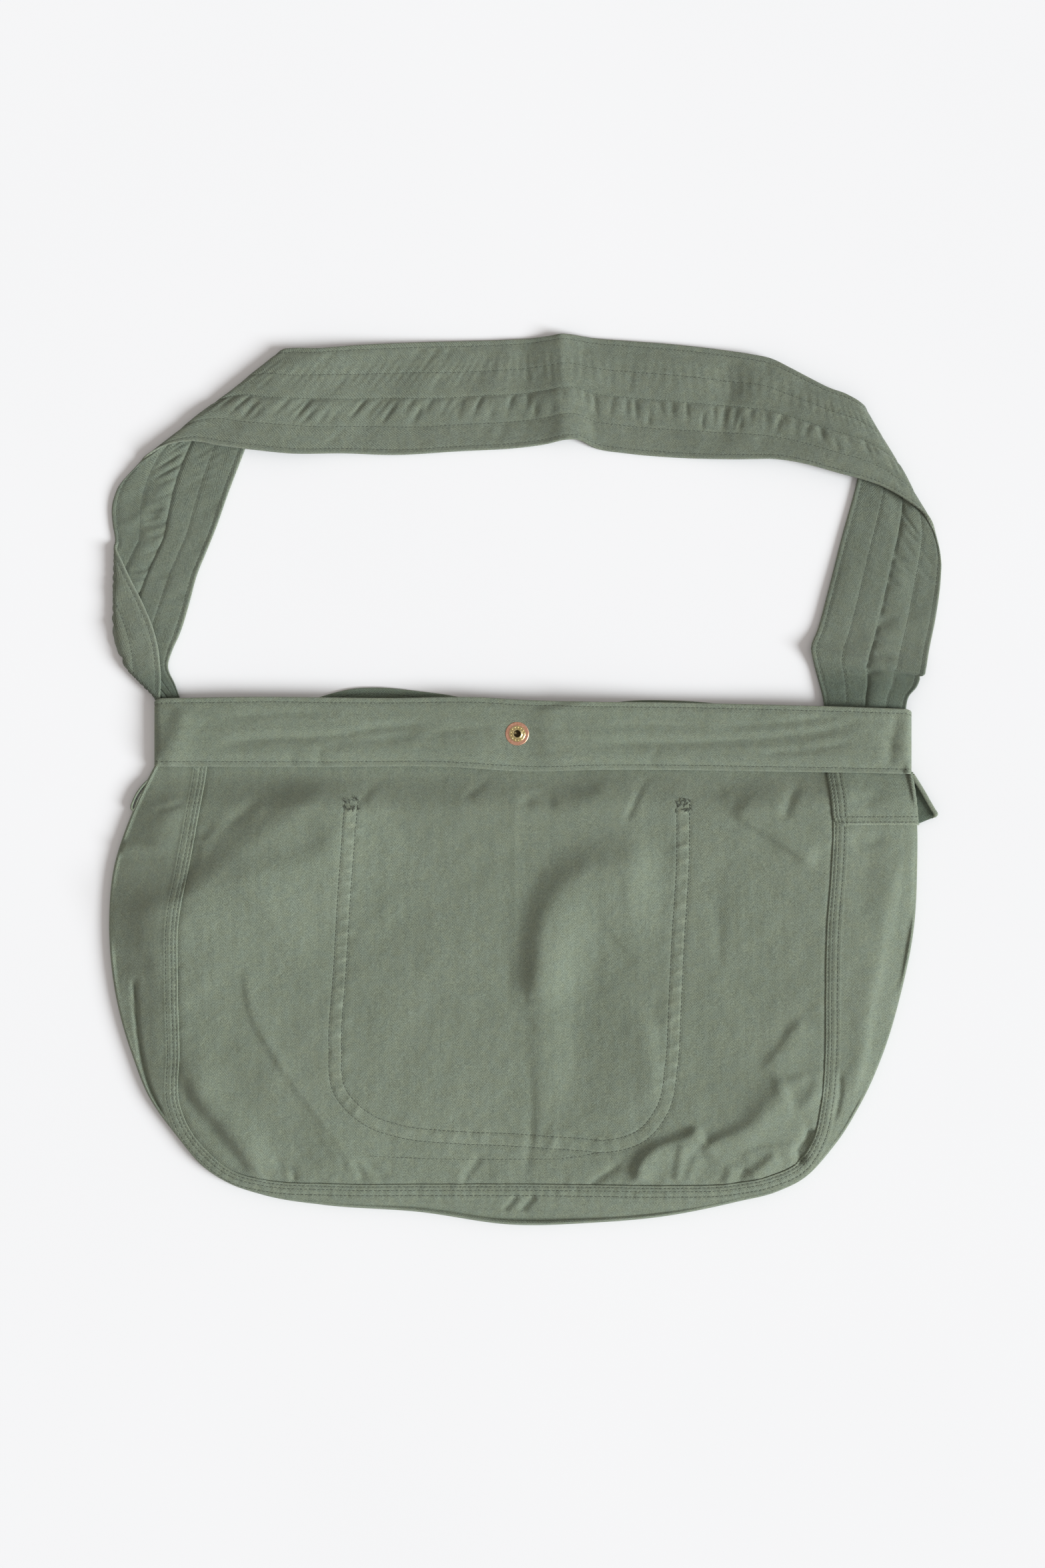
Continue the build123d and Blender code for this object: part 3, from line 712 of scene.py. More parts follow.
def gusset_grid():
    """Points of the gusset: a row for each stop along it, from the front seam to the back."""
    seam_at, crease_at = gusset_pairs[:, :2], gusset_pairs[:, 2:]
    out = crease_at - seam_at
    reach = np.linalg.norm(out, axis=1)
    out = out / reach[:, None]
    arc = math.pi * FOLD
    lap = np.array(GUSSET_LAP)
    rest = np.concatenate([np.linspace(0, 1, 17)[1:], np.linspace(1, 2, 17)[1:], np.linspace(2, 3, 12)[1:]])
    rows = []
    for i in range(len(reach)):
        straight = reach[i] - FOLD
        back = GUSSET_WIDTH - straight - arc
        tuck = max((back - straight) / 2, 0)
        ends = (0.0, max(straight, LAP + 1.5), max(straight, LAP + 1.5) + arc, GUSSET_WIDTH)
        spread = np.interp(rest, (0, 1, 2, 3), (lap[-1], ends[1], ends[2], ends[3]))
        length = np.concatenate([lap, np.maximum(spread, lap[-1])])
        bend = np.clip((length - straight) / FOLD, 0, math.pi)
        past = np.maximum(length - straight - arc, 0)
        inward = np.where(past < straight + tuck, past, 2 * (straight + tuck) - past)
        offset = np.minimum(length, straight) + FOLD * np.sin(bend) - inward
        rows.append(np.column_stack([offset, bend, past, length, np.full(length.size, gusset_stops[i])]))
    return np.array(rows), seam_at, out


def gusset():
    table, seam_at, out = gusset_grid()
    offset, bend, past, length, stop = np.moveaxis(table, 2, 0)
    x = seam_at[:, None, 0] + out[:, None, 0] * offset
    y = seam_at[:, None, 1] + out[:, None, 1] * offset
    on_top = belly(x, y) + 0.55 * add_puckers(x, y, seam_puckers)
    layers = 0.45 + 0.35 * ease(length, 0, 4) - 0.3 * ease(length, LAP - 0.6, LAP + 1.2)
    layers = layers - 0.5 * ease(length, LAP, LAP + 20)
    rounding = -0.45 * (1 - ease(length, -0.02, 0.35))
    grooves = sum(stitch_groove(length - row, 0.42, 0.55) for row in SEAM_ROWS)
    ripple = 0.16 * np.sin(2 * math.pi * stop / 6.3 + 3 * clouds(stop, length * 0, 30, 21))
    ripple = ripple * ease(length, 0.5, 2.5) * (1 - ease(length, 8, 14))
    wander = 1.3 * clouds(stop, length, 38, 22) * ease(length, 11, 30) * (1 - ease(past, 0, 6))
    cross = 0.0
    for place, height, spread in ((55, 1.5, 5), (128, -1.0, 7), (232, 0.9, 6), (268, 1.1, 5), (905, 1.0, 7)):
        cross = cross + height * np.exp(-((stop - place) / spread) ** 2) * ease(length, 11, 26)
    crest = 2 * FOLD + 0.45
    slack = ease(np.maximum(length - LAP, 0), 0, 6)
    top = on_top + layers + rounding + grooves + ripple + (wander + cross) * slack * (bend <= 0)
    round_z = crest - FOLD * (1 - np.cos(bend))
    z = np.where(bend <= 0, top, round_z + (layers + grooves) * np.cos(bend / 2) ** 2)
    z = np.where(past > 0, crest - 2 * FOLD, z)
    z = np.maximum(z, CLOTH + 0.05)
    grid = np.stack([x, y, z], axis=2)
    uv = np.stack([length, stop], axis=2)
    rows, columns = grid.shape[:2]
    faces = grid_faces(rows, columns)
    cloth = new_object("gusset_cloth", grid.reshape(-1, 3), faces, uv.reshape(-1, 2))
    wear = 0.38 * np.exp(-((length - 0.3) / 0.35) ** 2)
    wear = wear + 0.18 * np.exp(-((bend - 1.2) / 0.9) ** 2) * (bend > 0)
    paint_wear_and_shade(cloth, np.clip(wear, 0, 1).ravel())
    thicken(cloth, CLOTH)
    finish_cloth(cloth, "gusset")
    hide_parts("gusset_front", "gusset_back")
    return cloth, grid, length, grid_normals(grid)


# ---- band round the mouth ---------------------------------------------------------------------
FRONT_EDGE = [
    (BAND_LEFT, 169.7), (-160, 170.6), (-80, 169.8), (-18, 170.2), (2, 168.9), (22, 168.1), (110, 166.8),
    (200, 164.6), (BAND_RIGHT, 162.8),
]
FRONT_HEM = [
    (BAND_LEFT, 125.9), (-120, 125.6), (-40, 125.6), (4, 122.9), (60, 123.8), (160, 122.8),
    (BAND_RIGHT, 121.1),
]
BACK_EDGE = [
    (BAND_LEFT, 166.5), (-160, 167), (-132, 168.6), (-118, 172.8), (-104, 176), (-88, 176.8), (-60, 174.4),
    (-36, 171), (-20, 167), (30, 165.6), (60, 166.8), (76, 168.4), (100, 168.6), (125, 167.2), (145, 164.6),
    (200, 162), (BAND_RIGHT, 160),
]
# Waves of the band: as for the front, ridges (+) and grooves (-).
BAND_WAVES = [
    ([(-200, 139), (-160, 144), (-120, 145.5), (-86, 151), (-44, 154)], -1.9, (2.6, 2.6), (4.4, 4.4), 0.2),
    ([(-128, 139), (-90, 143), (-58, 147)], -1.2, (2.2, 2.2), (3.8, 3.8), 0.25),
    ([(-60, 147), (-20, 150), (-8, 148)], -0.9, (2.2, 2.2), (3, 3), 0.3),
    ([(-196, 156), (-150, 160), (-110, 161)], -0.9, (2.4, 2.4), (3, 3), 0.3),
    ([(38, 142), (108, 141.5), (160, 144.5), (200, 149), (230, 157)], -1.8, (2.4, 2.4), (4.4, 4.4), 0.2),
    ([(50, 152), (90, 153), (130, 151)], -0.9, (2.4, 2.4), (3, 3), 0.3),
    ([(120, 152), (170, 154), (215, 160)], -1.2, (2.2, 2.2), (3.6, 3.6), 0.3),
    ([(150, 134), (190, 137), (226, 144)], -1.1, (2.2, 2.2), (3, 3), 0.3),
    ([(-224, 124), (-218, 140), (-210, 164)], 2.0, (6, 6), (9, 9), 0.1),
    ([(240, 122), (242, 140), (247, 162)], -1.4, (3, 3), (4, 4), 0.2),
    ([(236, 150), (240, 142), (248, 136)], -1.1, (2.4, 2.4), (3, 3), 0.3),
    ([(25, 124), (26, 145), (22, 166)], 1.9, (11, 11), (40, 40), 0.12),
    ([(-124, 122), (-125, 132), (-122, 141)], -1.0, (2.4, 2.4), (3, 3), 0.3),
    ([(-141, 122), (-143, 131), (-139, 138)], -0.8, (2, 2), (3, 3), 0.3),
    ([(-60, 124), (-62, 132), (-58, 138)], -0.7, (2, 2), (3, 3), 0.3),
    ([(90, 122), (88, 131), (93, 138)], -0.7, (2, 2), (3, 3), 0.3),
]
BAND_BODY = 1.8
BAND_ROLL = 3.4


def edge_at(points, x):
    """Height of a band edge above x."""
    line = dense(points, 2.0)
    return np.interp(x, line[:, 0], line[:, 1])


def mouth_band():
    """The band is one ring: front, right fold, back, left fold."""
    length = BAND_RIGHT - BAND_LEFT - 2 * BAND_ROLL
    step = 2.4
    flat = np.linspace(0, length, int(length / step))
    turn = np.linspace(0, math.pi, 9)[1:-1]
    left, right = BAND_LEFT + BAND_ROLL, BAND_RIGHT - BAND_ROLL
    bulge = BAND_ROLL * np.sin(turn)
    x = np.concatenate([left + flat, right + bulge, right - flat, left - bulge])
    share = np.concatenate([np.zeros(len(flat)), turn / math.pi, np.ones(len(flat)), 1 - turn / math.pi])
    high = band_height(x)
    low = 0.5 * BAND_BODY + 0.15 + 0 * x
    ends_high = band_height(np.where(x > 0, right, left))
    z = np.where(share == 0, high, np.where(share == 1, low, 0))
    arc = (share > 0) & (share < 1)
    z = np.where(arc, low + (ends_high - low) * (0.5 + 0.5 * np.cos(share * math.pi)), z)
    top = edge_at(FRONT_EDGE, x) * (1 - share) + edge_at(BACK_EDGE, x) * share
    hem = edge_at(FRONT_HEM, x)
    run = np.concatenate([[0], np.cumsum(np.hypot(np.diff(x), np.diff(z)))])
    hem_side, mouth_side = (0, 0.25, 0.8, 1.6, 2.6, 3.4, 4.2), (40.8, 41.6, 42.4, 43.4, 44.2, 44.75, 45)
    across = np.array([*hem_side, *np.arange(5.4, 40, 1.53), *mouth_side]) / 45
    grid_x = np.repeat(x[:, None], len(across), axis=1)
    grid_y = hem[:, None] + (top - hem)[:, None] * across
    grid_z = np.repeat(z[:, None], len(across), axis=1)
    front = (share == 0)[:, None]
    swell = 0.75 * clouds(grid_x * 0.6, grid_y, 42, 41)
    swell = swell + 0.50 * clouds(grid_x * 0.6, grid_y, 14, 42) * (1 - front * 0.2)
    calm = ease(np.hypot(grid_x - SNAP[0], grid_y - SNAP[1]), 8, 15)
    for points, height, left_spread, right_spread, soft in BAND_WAVES:
        swell = swell + fold(grid_x, grid_y, points, height, left_spread, right_spread, soft)
    grid_z = grid_z + front * swell * calm
    hem_dip = 2.5 * (1 - ease(grid_y - hem[:, None], 0, 11)) * ease(grid_z - 5.4, 0, 3)
    grid_z = grid_z - front * hem_dip
    dip = np.exp(-((grid_x - 6) / 16) ** 2) * ease(-(grid_y - 142), 0, 16)
    grid_z = grid_z - front * 0.7 * dip
    middle = np.stack([grid_x, grid_y, grid_z], axis=2)
    ring = np.concatenate([middle[-1:], middle, middle[:1]])
    normal = grid_normals(ring)[1:-1] * -1
    width = across * 45
    edge_round = np.sqrt(np.clip(1 - (1 - np.minimum(np.minimum(width, 45 - width) / 0.9, 1)) ** 2, 0.02, 1))
    relief = stitch_groove(width - 3.4, 0.35, 0.6) + stitch_groove(width - 41.6, 0.35, 0.6)
    place = run[:, None]
    pucker = 0.14 * np.sin(2 * math.pi * place / 5.7 + 4 * clouds(place, 0 * place, 26, 43))
    pucker = pucker * (np.exp(-((width - 2.6) / 2.2) ** 2) + np.exp(-((width - 42.4) / 2.2) ** 2))
    outer = middle + normal * (BAND_BODY / 2 * edge_round + relief + pucker)[..., None]
    inner = middle - normal * (BAND_BODY / 2 * edge_round)[..., None]
    uv = np.stack([np.repeat(width[None, :], len(x), 0), np.repeat(run[:, None], len(across), 1)], axis=2)
    band = loop_mesh("mouth_band", outer, inner, uv, uv, close_rows=True)
    wear = 0.5 * np.exp(-(np.minimum(width, 45 - width) / 0.9) ** 2)
    wear = np.repeat(wear[None, :], len(x), 0)
    # The inner face, seen on the back half, is painted darker: painted shade inside the mouth.
    shade = np.concatenate([wear * 0, wear * 0 + 0.5], axis=1)
    paint_wear_and_shade(band, np.concatenate([wear, wear[:, ::-1]], axis=1), shade)
    finish_cloth(band, "band")
    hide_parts("front_band_outer", "front_band_facing", "back_band_outer", "back_band_facing")
    return band, outer, inner, normal, share, width


# ---- back panel and pocket --------------------------------------------------------------------
def back_panel():
    fine = dense([p[:2] for p in SEAM_AND_CREASE], 6)
    top = np.stack([np.linspace(fine[-1, 0], fine[0, 0], 60), np.full(60, PANEL_TOP)], axis=1)
    edge = np.concatenate([fine, top])
    xs, ys = np.meshgrid(np.arange(-224, 212, 6.0), np.arange(-150, PANEL_TOP - 3, 6.0))
    places = np.stack([xs.ravel(), ys.ravel()], axis=1)
    _, gap = beside(np.concatenate([edge, edge[:1]]), places[:, 0], places[:, 1])
    places = places[gap > 3]
    ring = [(i, (i + 1) % len(edge)) for i in range(len(edge))]
    flat = delaunay_2d_cdt([tuple(p) for p in np.concatenate([edge, places])], ring, [], 1, 1e-4)
    spots = np.array([tuple(p) for p in flat[0]])
    _, inside = beside(np.concatenate([edge, edge[:1]]), spots[:, 0], spots[:, 1])
    z = 1.75 + 0.5 * clouds(spots[:, 0], spots[:, 1], 60, 51) * ease(inside, 2, 40)
    panel = new_object("back_cloth", np.column_stack([spots, z]), [tuple(f) for f in flat[2]], spots)
    paint_wear_and_shade(panel, np.zeros(len(spots)), np.full(len(spots), 0.3))
    thicken(panel, CLOTH)
    finish_cloth(panel, "panel")
    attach(panel, "back")
    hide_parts("back_panel")
    return panel


def inner_pocket():
    """Patch pocket inside the front, with a turned hem along its open edge."""
    low, high = pocket_low, pocket_high
    u, v = np.linspace(0, 1, 60), np.linspace(0, 1, 62)
    gu, gv = np.meshgrid(u, v)
    x = low[0] + 1 + gu * (high[0] - low[0] - 2)
    y = high[1] - gv * (high[1] - low[1] - 1)
    corner = np.maximum(gv * (high[1] - low[1]) - (high[1] - low[1]) + 18, 0)
    squeeze = (18 - np.sqrt(np.maximum(18**2 - corner**2, 0))) * 0.9
    x = (low[0] + high[0]) / 2 + (x - (low[0] + high[0]) / 2) * (1 - squeeze / ((high[0] - low[0]) / 2))
    rim = np.minimum(np.minimum(gu, 1 - gu) * 217, (1 - gv) * 222)
    above = belly(x, y) - CLOTH - 1.0
    sag = above - np.minimum(3.4 * ease(rim, 2, 45), np.maximum(above - 5.2, 0.2))
    hem = -0.6 * (1 - ease(gv * 222, 15.5, 16.5))
    grid = np.stack([x, y, sag + hem], axis=2)
    faces = [f[::-1] for f in grid_faces(62, 60)]
    pocket = new_object("pocket_cloth", grid.reshape(-1, 3), faces, grid[:, :, :2].reshape(-1, 2))
    paint_wear_and_shade(pocket, np.zeros(62 * 60), np.full(62 * 60, 0.4))
    thicken(pocket, CLOTH)
    finish_cloth(pocket, "panel")
    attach(pocket, "front")
    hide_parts("inner_pocket")
    return pocket


# ---- strap --------------------------------------------------------------------------------------
# Lines across the strap from its left end to its right end: inner edge, then the edge of
# the lying cloth, each with the height of the middle of the cloth. On the left leg the
# outer edge is turned over: the width that lies flat and the turned-over edge follow.
LEFT_LEG = [
    ((-206.5, 133, 3.0), (-227, 133, 3.0), 68.5, (-223, 133)),
    ((-209, 150, 3.0), (-228, 150, 3.0), 68, (-224, 150)),
    ((-215, 171.5, 2.9), (-230, 171, 3.0), 65, (-226, 173)),
    ((-217.5, 178.5, 2.6), (-237.5, 178.5, 2.6), 57.5, (-225.8, 181)),
    ((-222.3, 191, 1.8), (-248, 190.5, 1.8), 47.8, (-226.2, 192)),
    ((-219.5, 201, 1.4), (-253.3, 201, 1.4), 44, (-228, 201)),
    ((-215, 211, 1.3), (-256.3, 211, 1.3), 44, (-231, 212)),
    ((-209, 230, 1.3), (-257.3, 229, 1.3), 50, (-238.5, 229.5)),
    ((-203.5, 250, 1.3), (-257.3, 247, 1.3), 58.5, (-247, 246.5)),
    ((-197, 266, 1.3), (-257, 262, 1.3), 66, (-252.2, 262)),
    ((-191, 281, 1.3), (-256.4, 272, 1.3), 72, (-251, 272)),
    ((-184, 301, 1.3), (-257.8, 281, 1.3), 82, (-250, 284)),
    ((-176, 322, 1.3), (-258.6, 291, 1.4), 84, (-250, 294)),
    ((-166, 347, 1.3), (-256.8, 300, 1.5), 84, (-250, 303)),
]
TURNED = [
    ((-156, 370, 1.3), (-252.6, 308.5, 1.8)),
    ((-150.5, 385, 1.5), (-245.6, 316, 2.7)),
    ((-149, 392, 3.6), (-237, 324, 4.1)),
    ((-146, 394, 5.6), (-226, 330.8, 5.7)),
    ((-139, 394.6, 6.3), (-210, 334.6, 6.5)),
    ((-125, 394.4, 6.6), (-188, 331.8, 6.6)),
    ((-103, 396.4, 5.6), (-165, 329, 6.6)),
    ((-80, 398, 4.0), (-142, 326.9, 5.4)),
    ((-55, 399.2, 2.4), (-110, 327.4, 3.2)),
    ((-30, 400, 1.5), (-75, 326.6, 1.7)),
    ((-5, 400.8, 1.3), (-35, 329, 1.3)),
    ((14, 402, 1.6), (4, 331.2, 1.6)),
    ((25, 403.2, 3.4), (22, 333.5, 3.2)),
    ((31.5, 404, 5.2), (33, 335.7, 5.2)),
    ((38, 403.6, 4.0), (41, 336, 4.4)),
    ((50, 402, 1.8), (52, 331.2, 1.8)),
    ((75, 400, 1.3), (73, 327.6, 1.3)),
    ((105, 397.6, 1.4), (105, 324.8, 1.4)),
    ((135, 394, 2.6), (128, 323.8, 2.6)),
    ((152, 391.2, 4.2), (143, 323.4, 4.0)),
    ((166, 388, 5.2), (155, 323.4, 5.0)),
    ((178, 382, 6.0), (167, 323.4, 5.8)),
    ((190, 375.6, 6.5), (182, 321.4, 6.4)),
    ((203, 369, 6.6), (208, 314.5, 6.6)),
    ((214, 365, 6.4), (236, 306, 6.5)),
    ((221.5, 360.6, 5.8), (254, 296, 6.0)),
    ((225.6, 356.6, 3.8), (265.4, 287.5, 4.2)),
    ((227, 350.5, 2.0), (270.5, 280, 2.4)),
    ((226.5, 343, 1.3), (273.8, 270, 1.7)),
    ((225, 328, 1.3), (275.8, 258, 1.4)),
    ((221, 308, 1.3), (275.6, 249, 1.3)),
    ((212, 275, 1.3), (274.6, 238, 1.3)),
    ((203, 240, 1.7), (271.6, 219, 1.5)),
    ((195.5, 213, 2.6), (267.4, 199, 2.6)),
    ((191.8, 204, 4.2), (265.2, 188, 4.8)),
    ((191.4, 201, 5.0), (264.2, 184.8, 5.6)),
    ((192.0, 198, 4.2), (262.2, 184.6, 4.0)),
    ((193.8, 191, 2.3), (261.4, 181.6, 4.4)),
    ((196.5, 181, 2.0), (259, 176.5, 5.2)),
    ((199, 171.5, 2.6), (254.3, 171, 5.6)),
    ((200, 158, 4.0), (252, 158, 4.4)),
    ((200, 133, 2.9), (250, 133, 2.9)),
]
LYING_FLAT = 84        # a flat width past the strap's own: nothing is turned over
CURL = 1.7             # radius of the turned-over edge


def strap_lines():
    """Every line across the strap: inner edge, outer edge, flat width, turned-over edge."""
    rows = [(*a, *f, flat, *b) for a, f, flat, b in LEFT_LEG]
    rows += [(*a, *b, LYING_FLAT, *b[:2]) for a, b in TURNED]
    return np.array(rows)


def strap_middle(stops, widths):
    """Middle of the strap's thickness, for stops along it and widths across it."""
    lines = strap_lines()
    centre = np.column_stack([(lines[:, :3] + lines[:, 3:6]) / 2, lines])
    at = along(centre, stops, slice(0, 3))[:, 3:]
    inner, edge, flat, over = at[:, None, :3], at[:, None, 3:6], at[:, None, 6], at[:, None, 7:9]
    t = widths[None, :]
    curl = CURL * (0.62 + 0.38 * ease(inner[..., 1], 176, 200))
    lying = np.minimum(flat, STRAP_WIDTH)
    start = flat - math.pi * curl / 2
    share = np.clip(np.minimum(t, start) / np.where(flat > STRAP_WIDTH, STRAP_WIDTH, lying), 0, 1)
    points = inner + (edge - inner) * share[..., None]
    bend = np.clip((t - start) / curl, 0, math.pi)
    past = np.maximum(t - start - math.pi * curl, 0)
    back_way = over - edge[..., :2]
    room = np.maximum(np.linalg.norm(back_way, axis=2, keepdims=True), 1e-6)
    back_way = back_way / room
    points[..., :2] -= back_way * (curl * np.sin(bend))[..., None]
    points[..., 2] += curl * (1 - np.cos(bend)) + 0.35 * ease(past, 0, 8)
    points[..., :2] += back_way * past[..., None]
    return points


def strap_puckers(s, t, total):
    """Short valleys that run across the strap between its third and fourth rows."""
    pick = np.random.default_rng(67)
    out = np.zeros(np.broadcast(s, t).shape)
    place = 50.0
    while place < total - 50:
        depth, reach = pick.uniform(0.5, 1.5), pick.uniform(9, 17.5)
        lean, wide = pick.normal(0, 0.16), pick.uniform(1.3, 2.6)
        from_row = 35.5 if pick.uniform() < 0.75 else 53.0 - reach
        inside = ease(t, from_row, from_row + 1.5) * (1 - ease(t, from_row + 0.45 * reach, from_row + reach))
        out = out - depth * np.exp(-((s - place - lean * (t - 44)) / wide) ** 2) * inside
        if pick.uniform() < 0.4:
            low = pick.choice([3.5, 19.5, 53.0])
            side = ease(t, low, low + 2) * (1 - ease(t, low + 6, low + 15))
            out = out - 0.4 * depth * np.exp(-((s - place - pick.uniform(-3, 3)) / (wide * 1.5)) ** 2) * side
        place += pick.uniform(4.5, 11.5)
    return out


def strap():
    lines = strap_lines()
    centre = (lines[:, :3] + lines[:, 3:6]) / 2
    total = knots(centre)[-1]
    stops = np.linspace(0, total, int(total / 1.15))
    widths = np.array([
        0, 0.3, 0.9, 1.8, 2.8, 3.5, 4.3, 6, 9, 12, 15, 17.6, 18.7, 19.5, 20.3, 21.6, 25, 29, 32.6, 34.6,
        35.5, 36.4, 38.4, 41, 44.2, 47.4, 50, 52, 53, 54, 56, 59, 62, 64.6, 66.2, 67, 67.8, 68.6, 69.2,
        69.7, 70,
    ])
    middle = strap_middle(stops, widths)
    s, t = stops[:, None], widths[None, :]
    edge = np.minimum(widths, STRAP_WIDTH - widths)
    waves = 1.5 * clouds(s, t * 0.7, 42, 66) + 0.9 * clouds(s, t, 17, 68)
    middle[..., 2] += waves * ease(middle[..., 2] * 0 + edge, -4, 14) * ease(middle[..., 1], 185, 215)
    middle[..., 2] = np.maximum(middle[..., 2], 1.15)
    normal = grid_normals(middle)
    body = STRAP_BODY / 2 * np.sqrt(np.clip(1 - (1 - np.minimum(edge / 0.9, 1)) ** 2, 0.03, 1))
    grooves = sum(stitch_groove(widths - row, 0.36, 0.8) for row in STRAP_ROWS)
    channel = np.sin(np.clip((widths - 35.5) / 17.5, 0, 1) * math.pi)
    ladder = strap_puckers(s, t, total) + 0.45 * channel
    ladder = ladder - 0.75 * np.exp(-((t - 35.9) / 0.55) ** 2)
    ladder = ladder + 0.3 * ease(t, 35.7, 36.6) * (1 - ease(t, 44, 53))
    quilting = 0.16 * np.sin(2 * math.pi * s / 6.1 + 5 * clouds(s, t, 24, 63))
    quilting = quilting * np.exp(-((np.abs(t - 19.5) - 3) / 4) ** 2)
    swell = 0.45 * clouds(s, t * 1.6, 24, 65) * ease(edge, 0, 6)
    lift = (grooves + 0.12)[None, :] + ladder + quilting
    over = middle + normal * (body[None, :] + lift + swell)[..., None]
    under = middle - normal * (body[None, :] + lift * 1.1 - swell * 0.6)[..., None]
    floor_low = 0.12
    over[..., 2] = np.maximum(over[..., 2], floor_low + 0.02)
    under[..., 2] = np.maximum(under[..., 2], floor_low)
    uv = np.stack([np.repeat(t, len(stops), 0), np.repeat(s, len(widths), 1)], axis=2)
    cloth = loop_mesh("strap_cloth", over, under, uv, uv)
    rub = 0.6 * np.exp(-(edge / 0.8) ** 2)[None, :] + 0.10 * np.maximum(ladder - 0.2, 0)
    # Painted shade at the root, where the strap runs under the band, on both faces; the lining is also
    # painted a little darker, for its unfaded dye and some painted shade, less so at its edges.
    root_shade = 0.55 * (1 - ease(middle[..., 1], 176, 198))
    lining = 0.18 - 0.1 * np.exp(-(edge / 1.0) ** 2)[None, :] + root_shade
    shade = np.concatenate([root_shade, lining[:, ::-1]], axis=1)
    paint_wear_and_shade(cloth, np.concatenate([rub, rub[:, ::-1]], axis=1), shade)
    finish_cloth(cloth, "strap")
    layers = ("strap_outer", "strap_interlining", "strap_lining")
    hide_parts(*layers, "strap_end_left", "strap_end_right")
    return cloth, over, under, normal, widths


# ---- side patch and tabs ------------------------------------------------------------------------
def side_patch(grid, length, normals):
    """Patch on the right of the gusset: the same surface, one layer higher."""
    total = gusset_stops[-1]
    first = np.searchsorted(gusset_stops, total - 34.0)
    rows = slice(first, len(gusset_stops))
    columns = [j for j in range(grid.shape[1]) if length[-1, j] < 54.6]
    base = grid[rows][:, columns]
    up = normals[rows][:, columns]
    wide = length[rows][:, columns]
    run = (gusset_stops[rows] - gusset_stops[first])[:, None] + 0 * wide
    lift = 1.0 + 0.35 * ease(2.0 - run, -1, 2) + stitch_groove(run - 1.4, 0.3, 0.7)
    lift = lift + stitch_groove(run - 4.7, 0.3, 0.7)
    lift = lift + 0.15 * np.sin(run * 1.1 + wide * 0.16)
    corner = np.maximum(6 - run, 0)
    points = base + up * lift[..., None]
    inward = (6 - np.sqrt(np.maximum(36 - corner**2, 0)))
    shift = inward * (1 - ease(wide, 0, 9))
    points[..., 0] += shift + 0.4
    patch = new_object("side_patch_cloth", points.reshape(-1, 3), grid_faces(*wide.shape),
                       np.stack([wide, run], axis=2).reshape(-1, 2))
    # Darker away from its hem, towards the band: painted shade under the band. The hem is rubbed pale.
    paint_wear_and_shade(patch, 1.0 * np.exp(-(run / 0.7) ** 2), 0.05 + 0.12 * ease(run, 6, 30))
    thicken(patch, CLOTH)
    finish_cloth(patch, "gusset")
    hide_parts("side_patch")
    return patch, points, wide, run


RIGHT_TAB = [
    ((256.2, 120.5), (257.6, 121.2)), ((256.8, 116), (260.4, 116.8)), ((258, 110), (264.2, 110.6)),
    ((259, 104), (267.6, 104.6)), ((259.6, 98), (270.8, 99)), ((259.8, 93), (272.9, 95.3)),
    ((259.8, 88.6), (271.6, 93.6)),
]
LEFT_TAB = [
    (-231.4, 120.4), (-233.6, 118.0), (-236.6, 115.2), (-239.8, 111.6), (-242.6, 107.2),
    (-244.4, 103.2), (-245.4, 100.2),
    (-245.2, 98.5), (-244.1, 98.0), (-243.0, 99.4), (-241.9, 103.0), (-239.8, 107.2), (-237.0, 111.2),
    (-234.2, 114.6), (-232.2, 117.4),
]


def right_tab():
    """Folded corner beside the right side patch: a hollow triangle with a rolled rim."""
    lines = [(*a, *b) for a, b in RIGHT_TAB]
    pairs = along(lines, np.linspace(0, knots(lines)[-1], 40))
    root, rim = pairs[:, None, :2], pairs[:, None, 2:]
    span = np.linalg.norm(rim - root, axis=2, keepdims=True)
    away = (rim - root) / span
    roll = 1.0
    share = np.linspace(0, 1, 12)[None, :, None]
    leaf = root + (rim - away * roll - root) * share
    leaf_z = 1.9 + 1.2 * share[..., 0] ** 2 + 0 * leaf[..., 0]
    turn = np.linspace(0, math.pi, 7)[None, 1:]
    curl = (rim - away * roll) + away * (roll * np.sin(turn))[..., None]
    curl_z = 3.1 + roll * (1 - np.cos(turn)) + 0 * curl[..., 0]
    lip = (rim - away * roll) - away * np.minimum(np.array([0.6, 1.2, 1.7])[None, :, None], span * 0.5)
    lip_z = np.array([5.1, 5.0, 4.7])[None, :] + 0 * lip[..., 0]
    flat = np.concatenate([leaf, curl, lip], axis=1)
    grid = np.dstack([flat, np.concatenate([leaf_z, curl_z, lip_z], axis=1)[..., None]])
    rows, columns = grid.shape[:2]
    uv = np.stack(np.meshgrid(np.arange(columns) * 1.0, np.arange(rows) * 0.9), axis=2)
    faces = [f[::-1] for f in grid_faces(rows, columns)]
    tab = new_object("right_tab_cloth", grid.reshape(-1, 3), faces, uv.reshape(-1, 2))
    column = np.arange(columns)[None, :] + 0 * grid[..., 0]
    # Painted shade in the hollow of the triangle; the rolled rim is rubbed pale.
    paint_wear_and_shade(tab, 0.5 * (column > 13), 0.75 * (1 - ease(column, 9, 14)))
    thicken(tab, CLOTH, 0.0)
    finish_cloth(tab, "gusset")
    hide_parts("side_tab_right")
    return tab


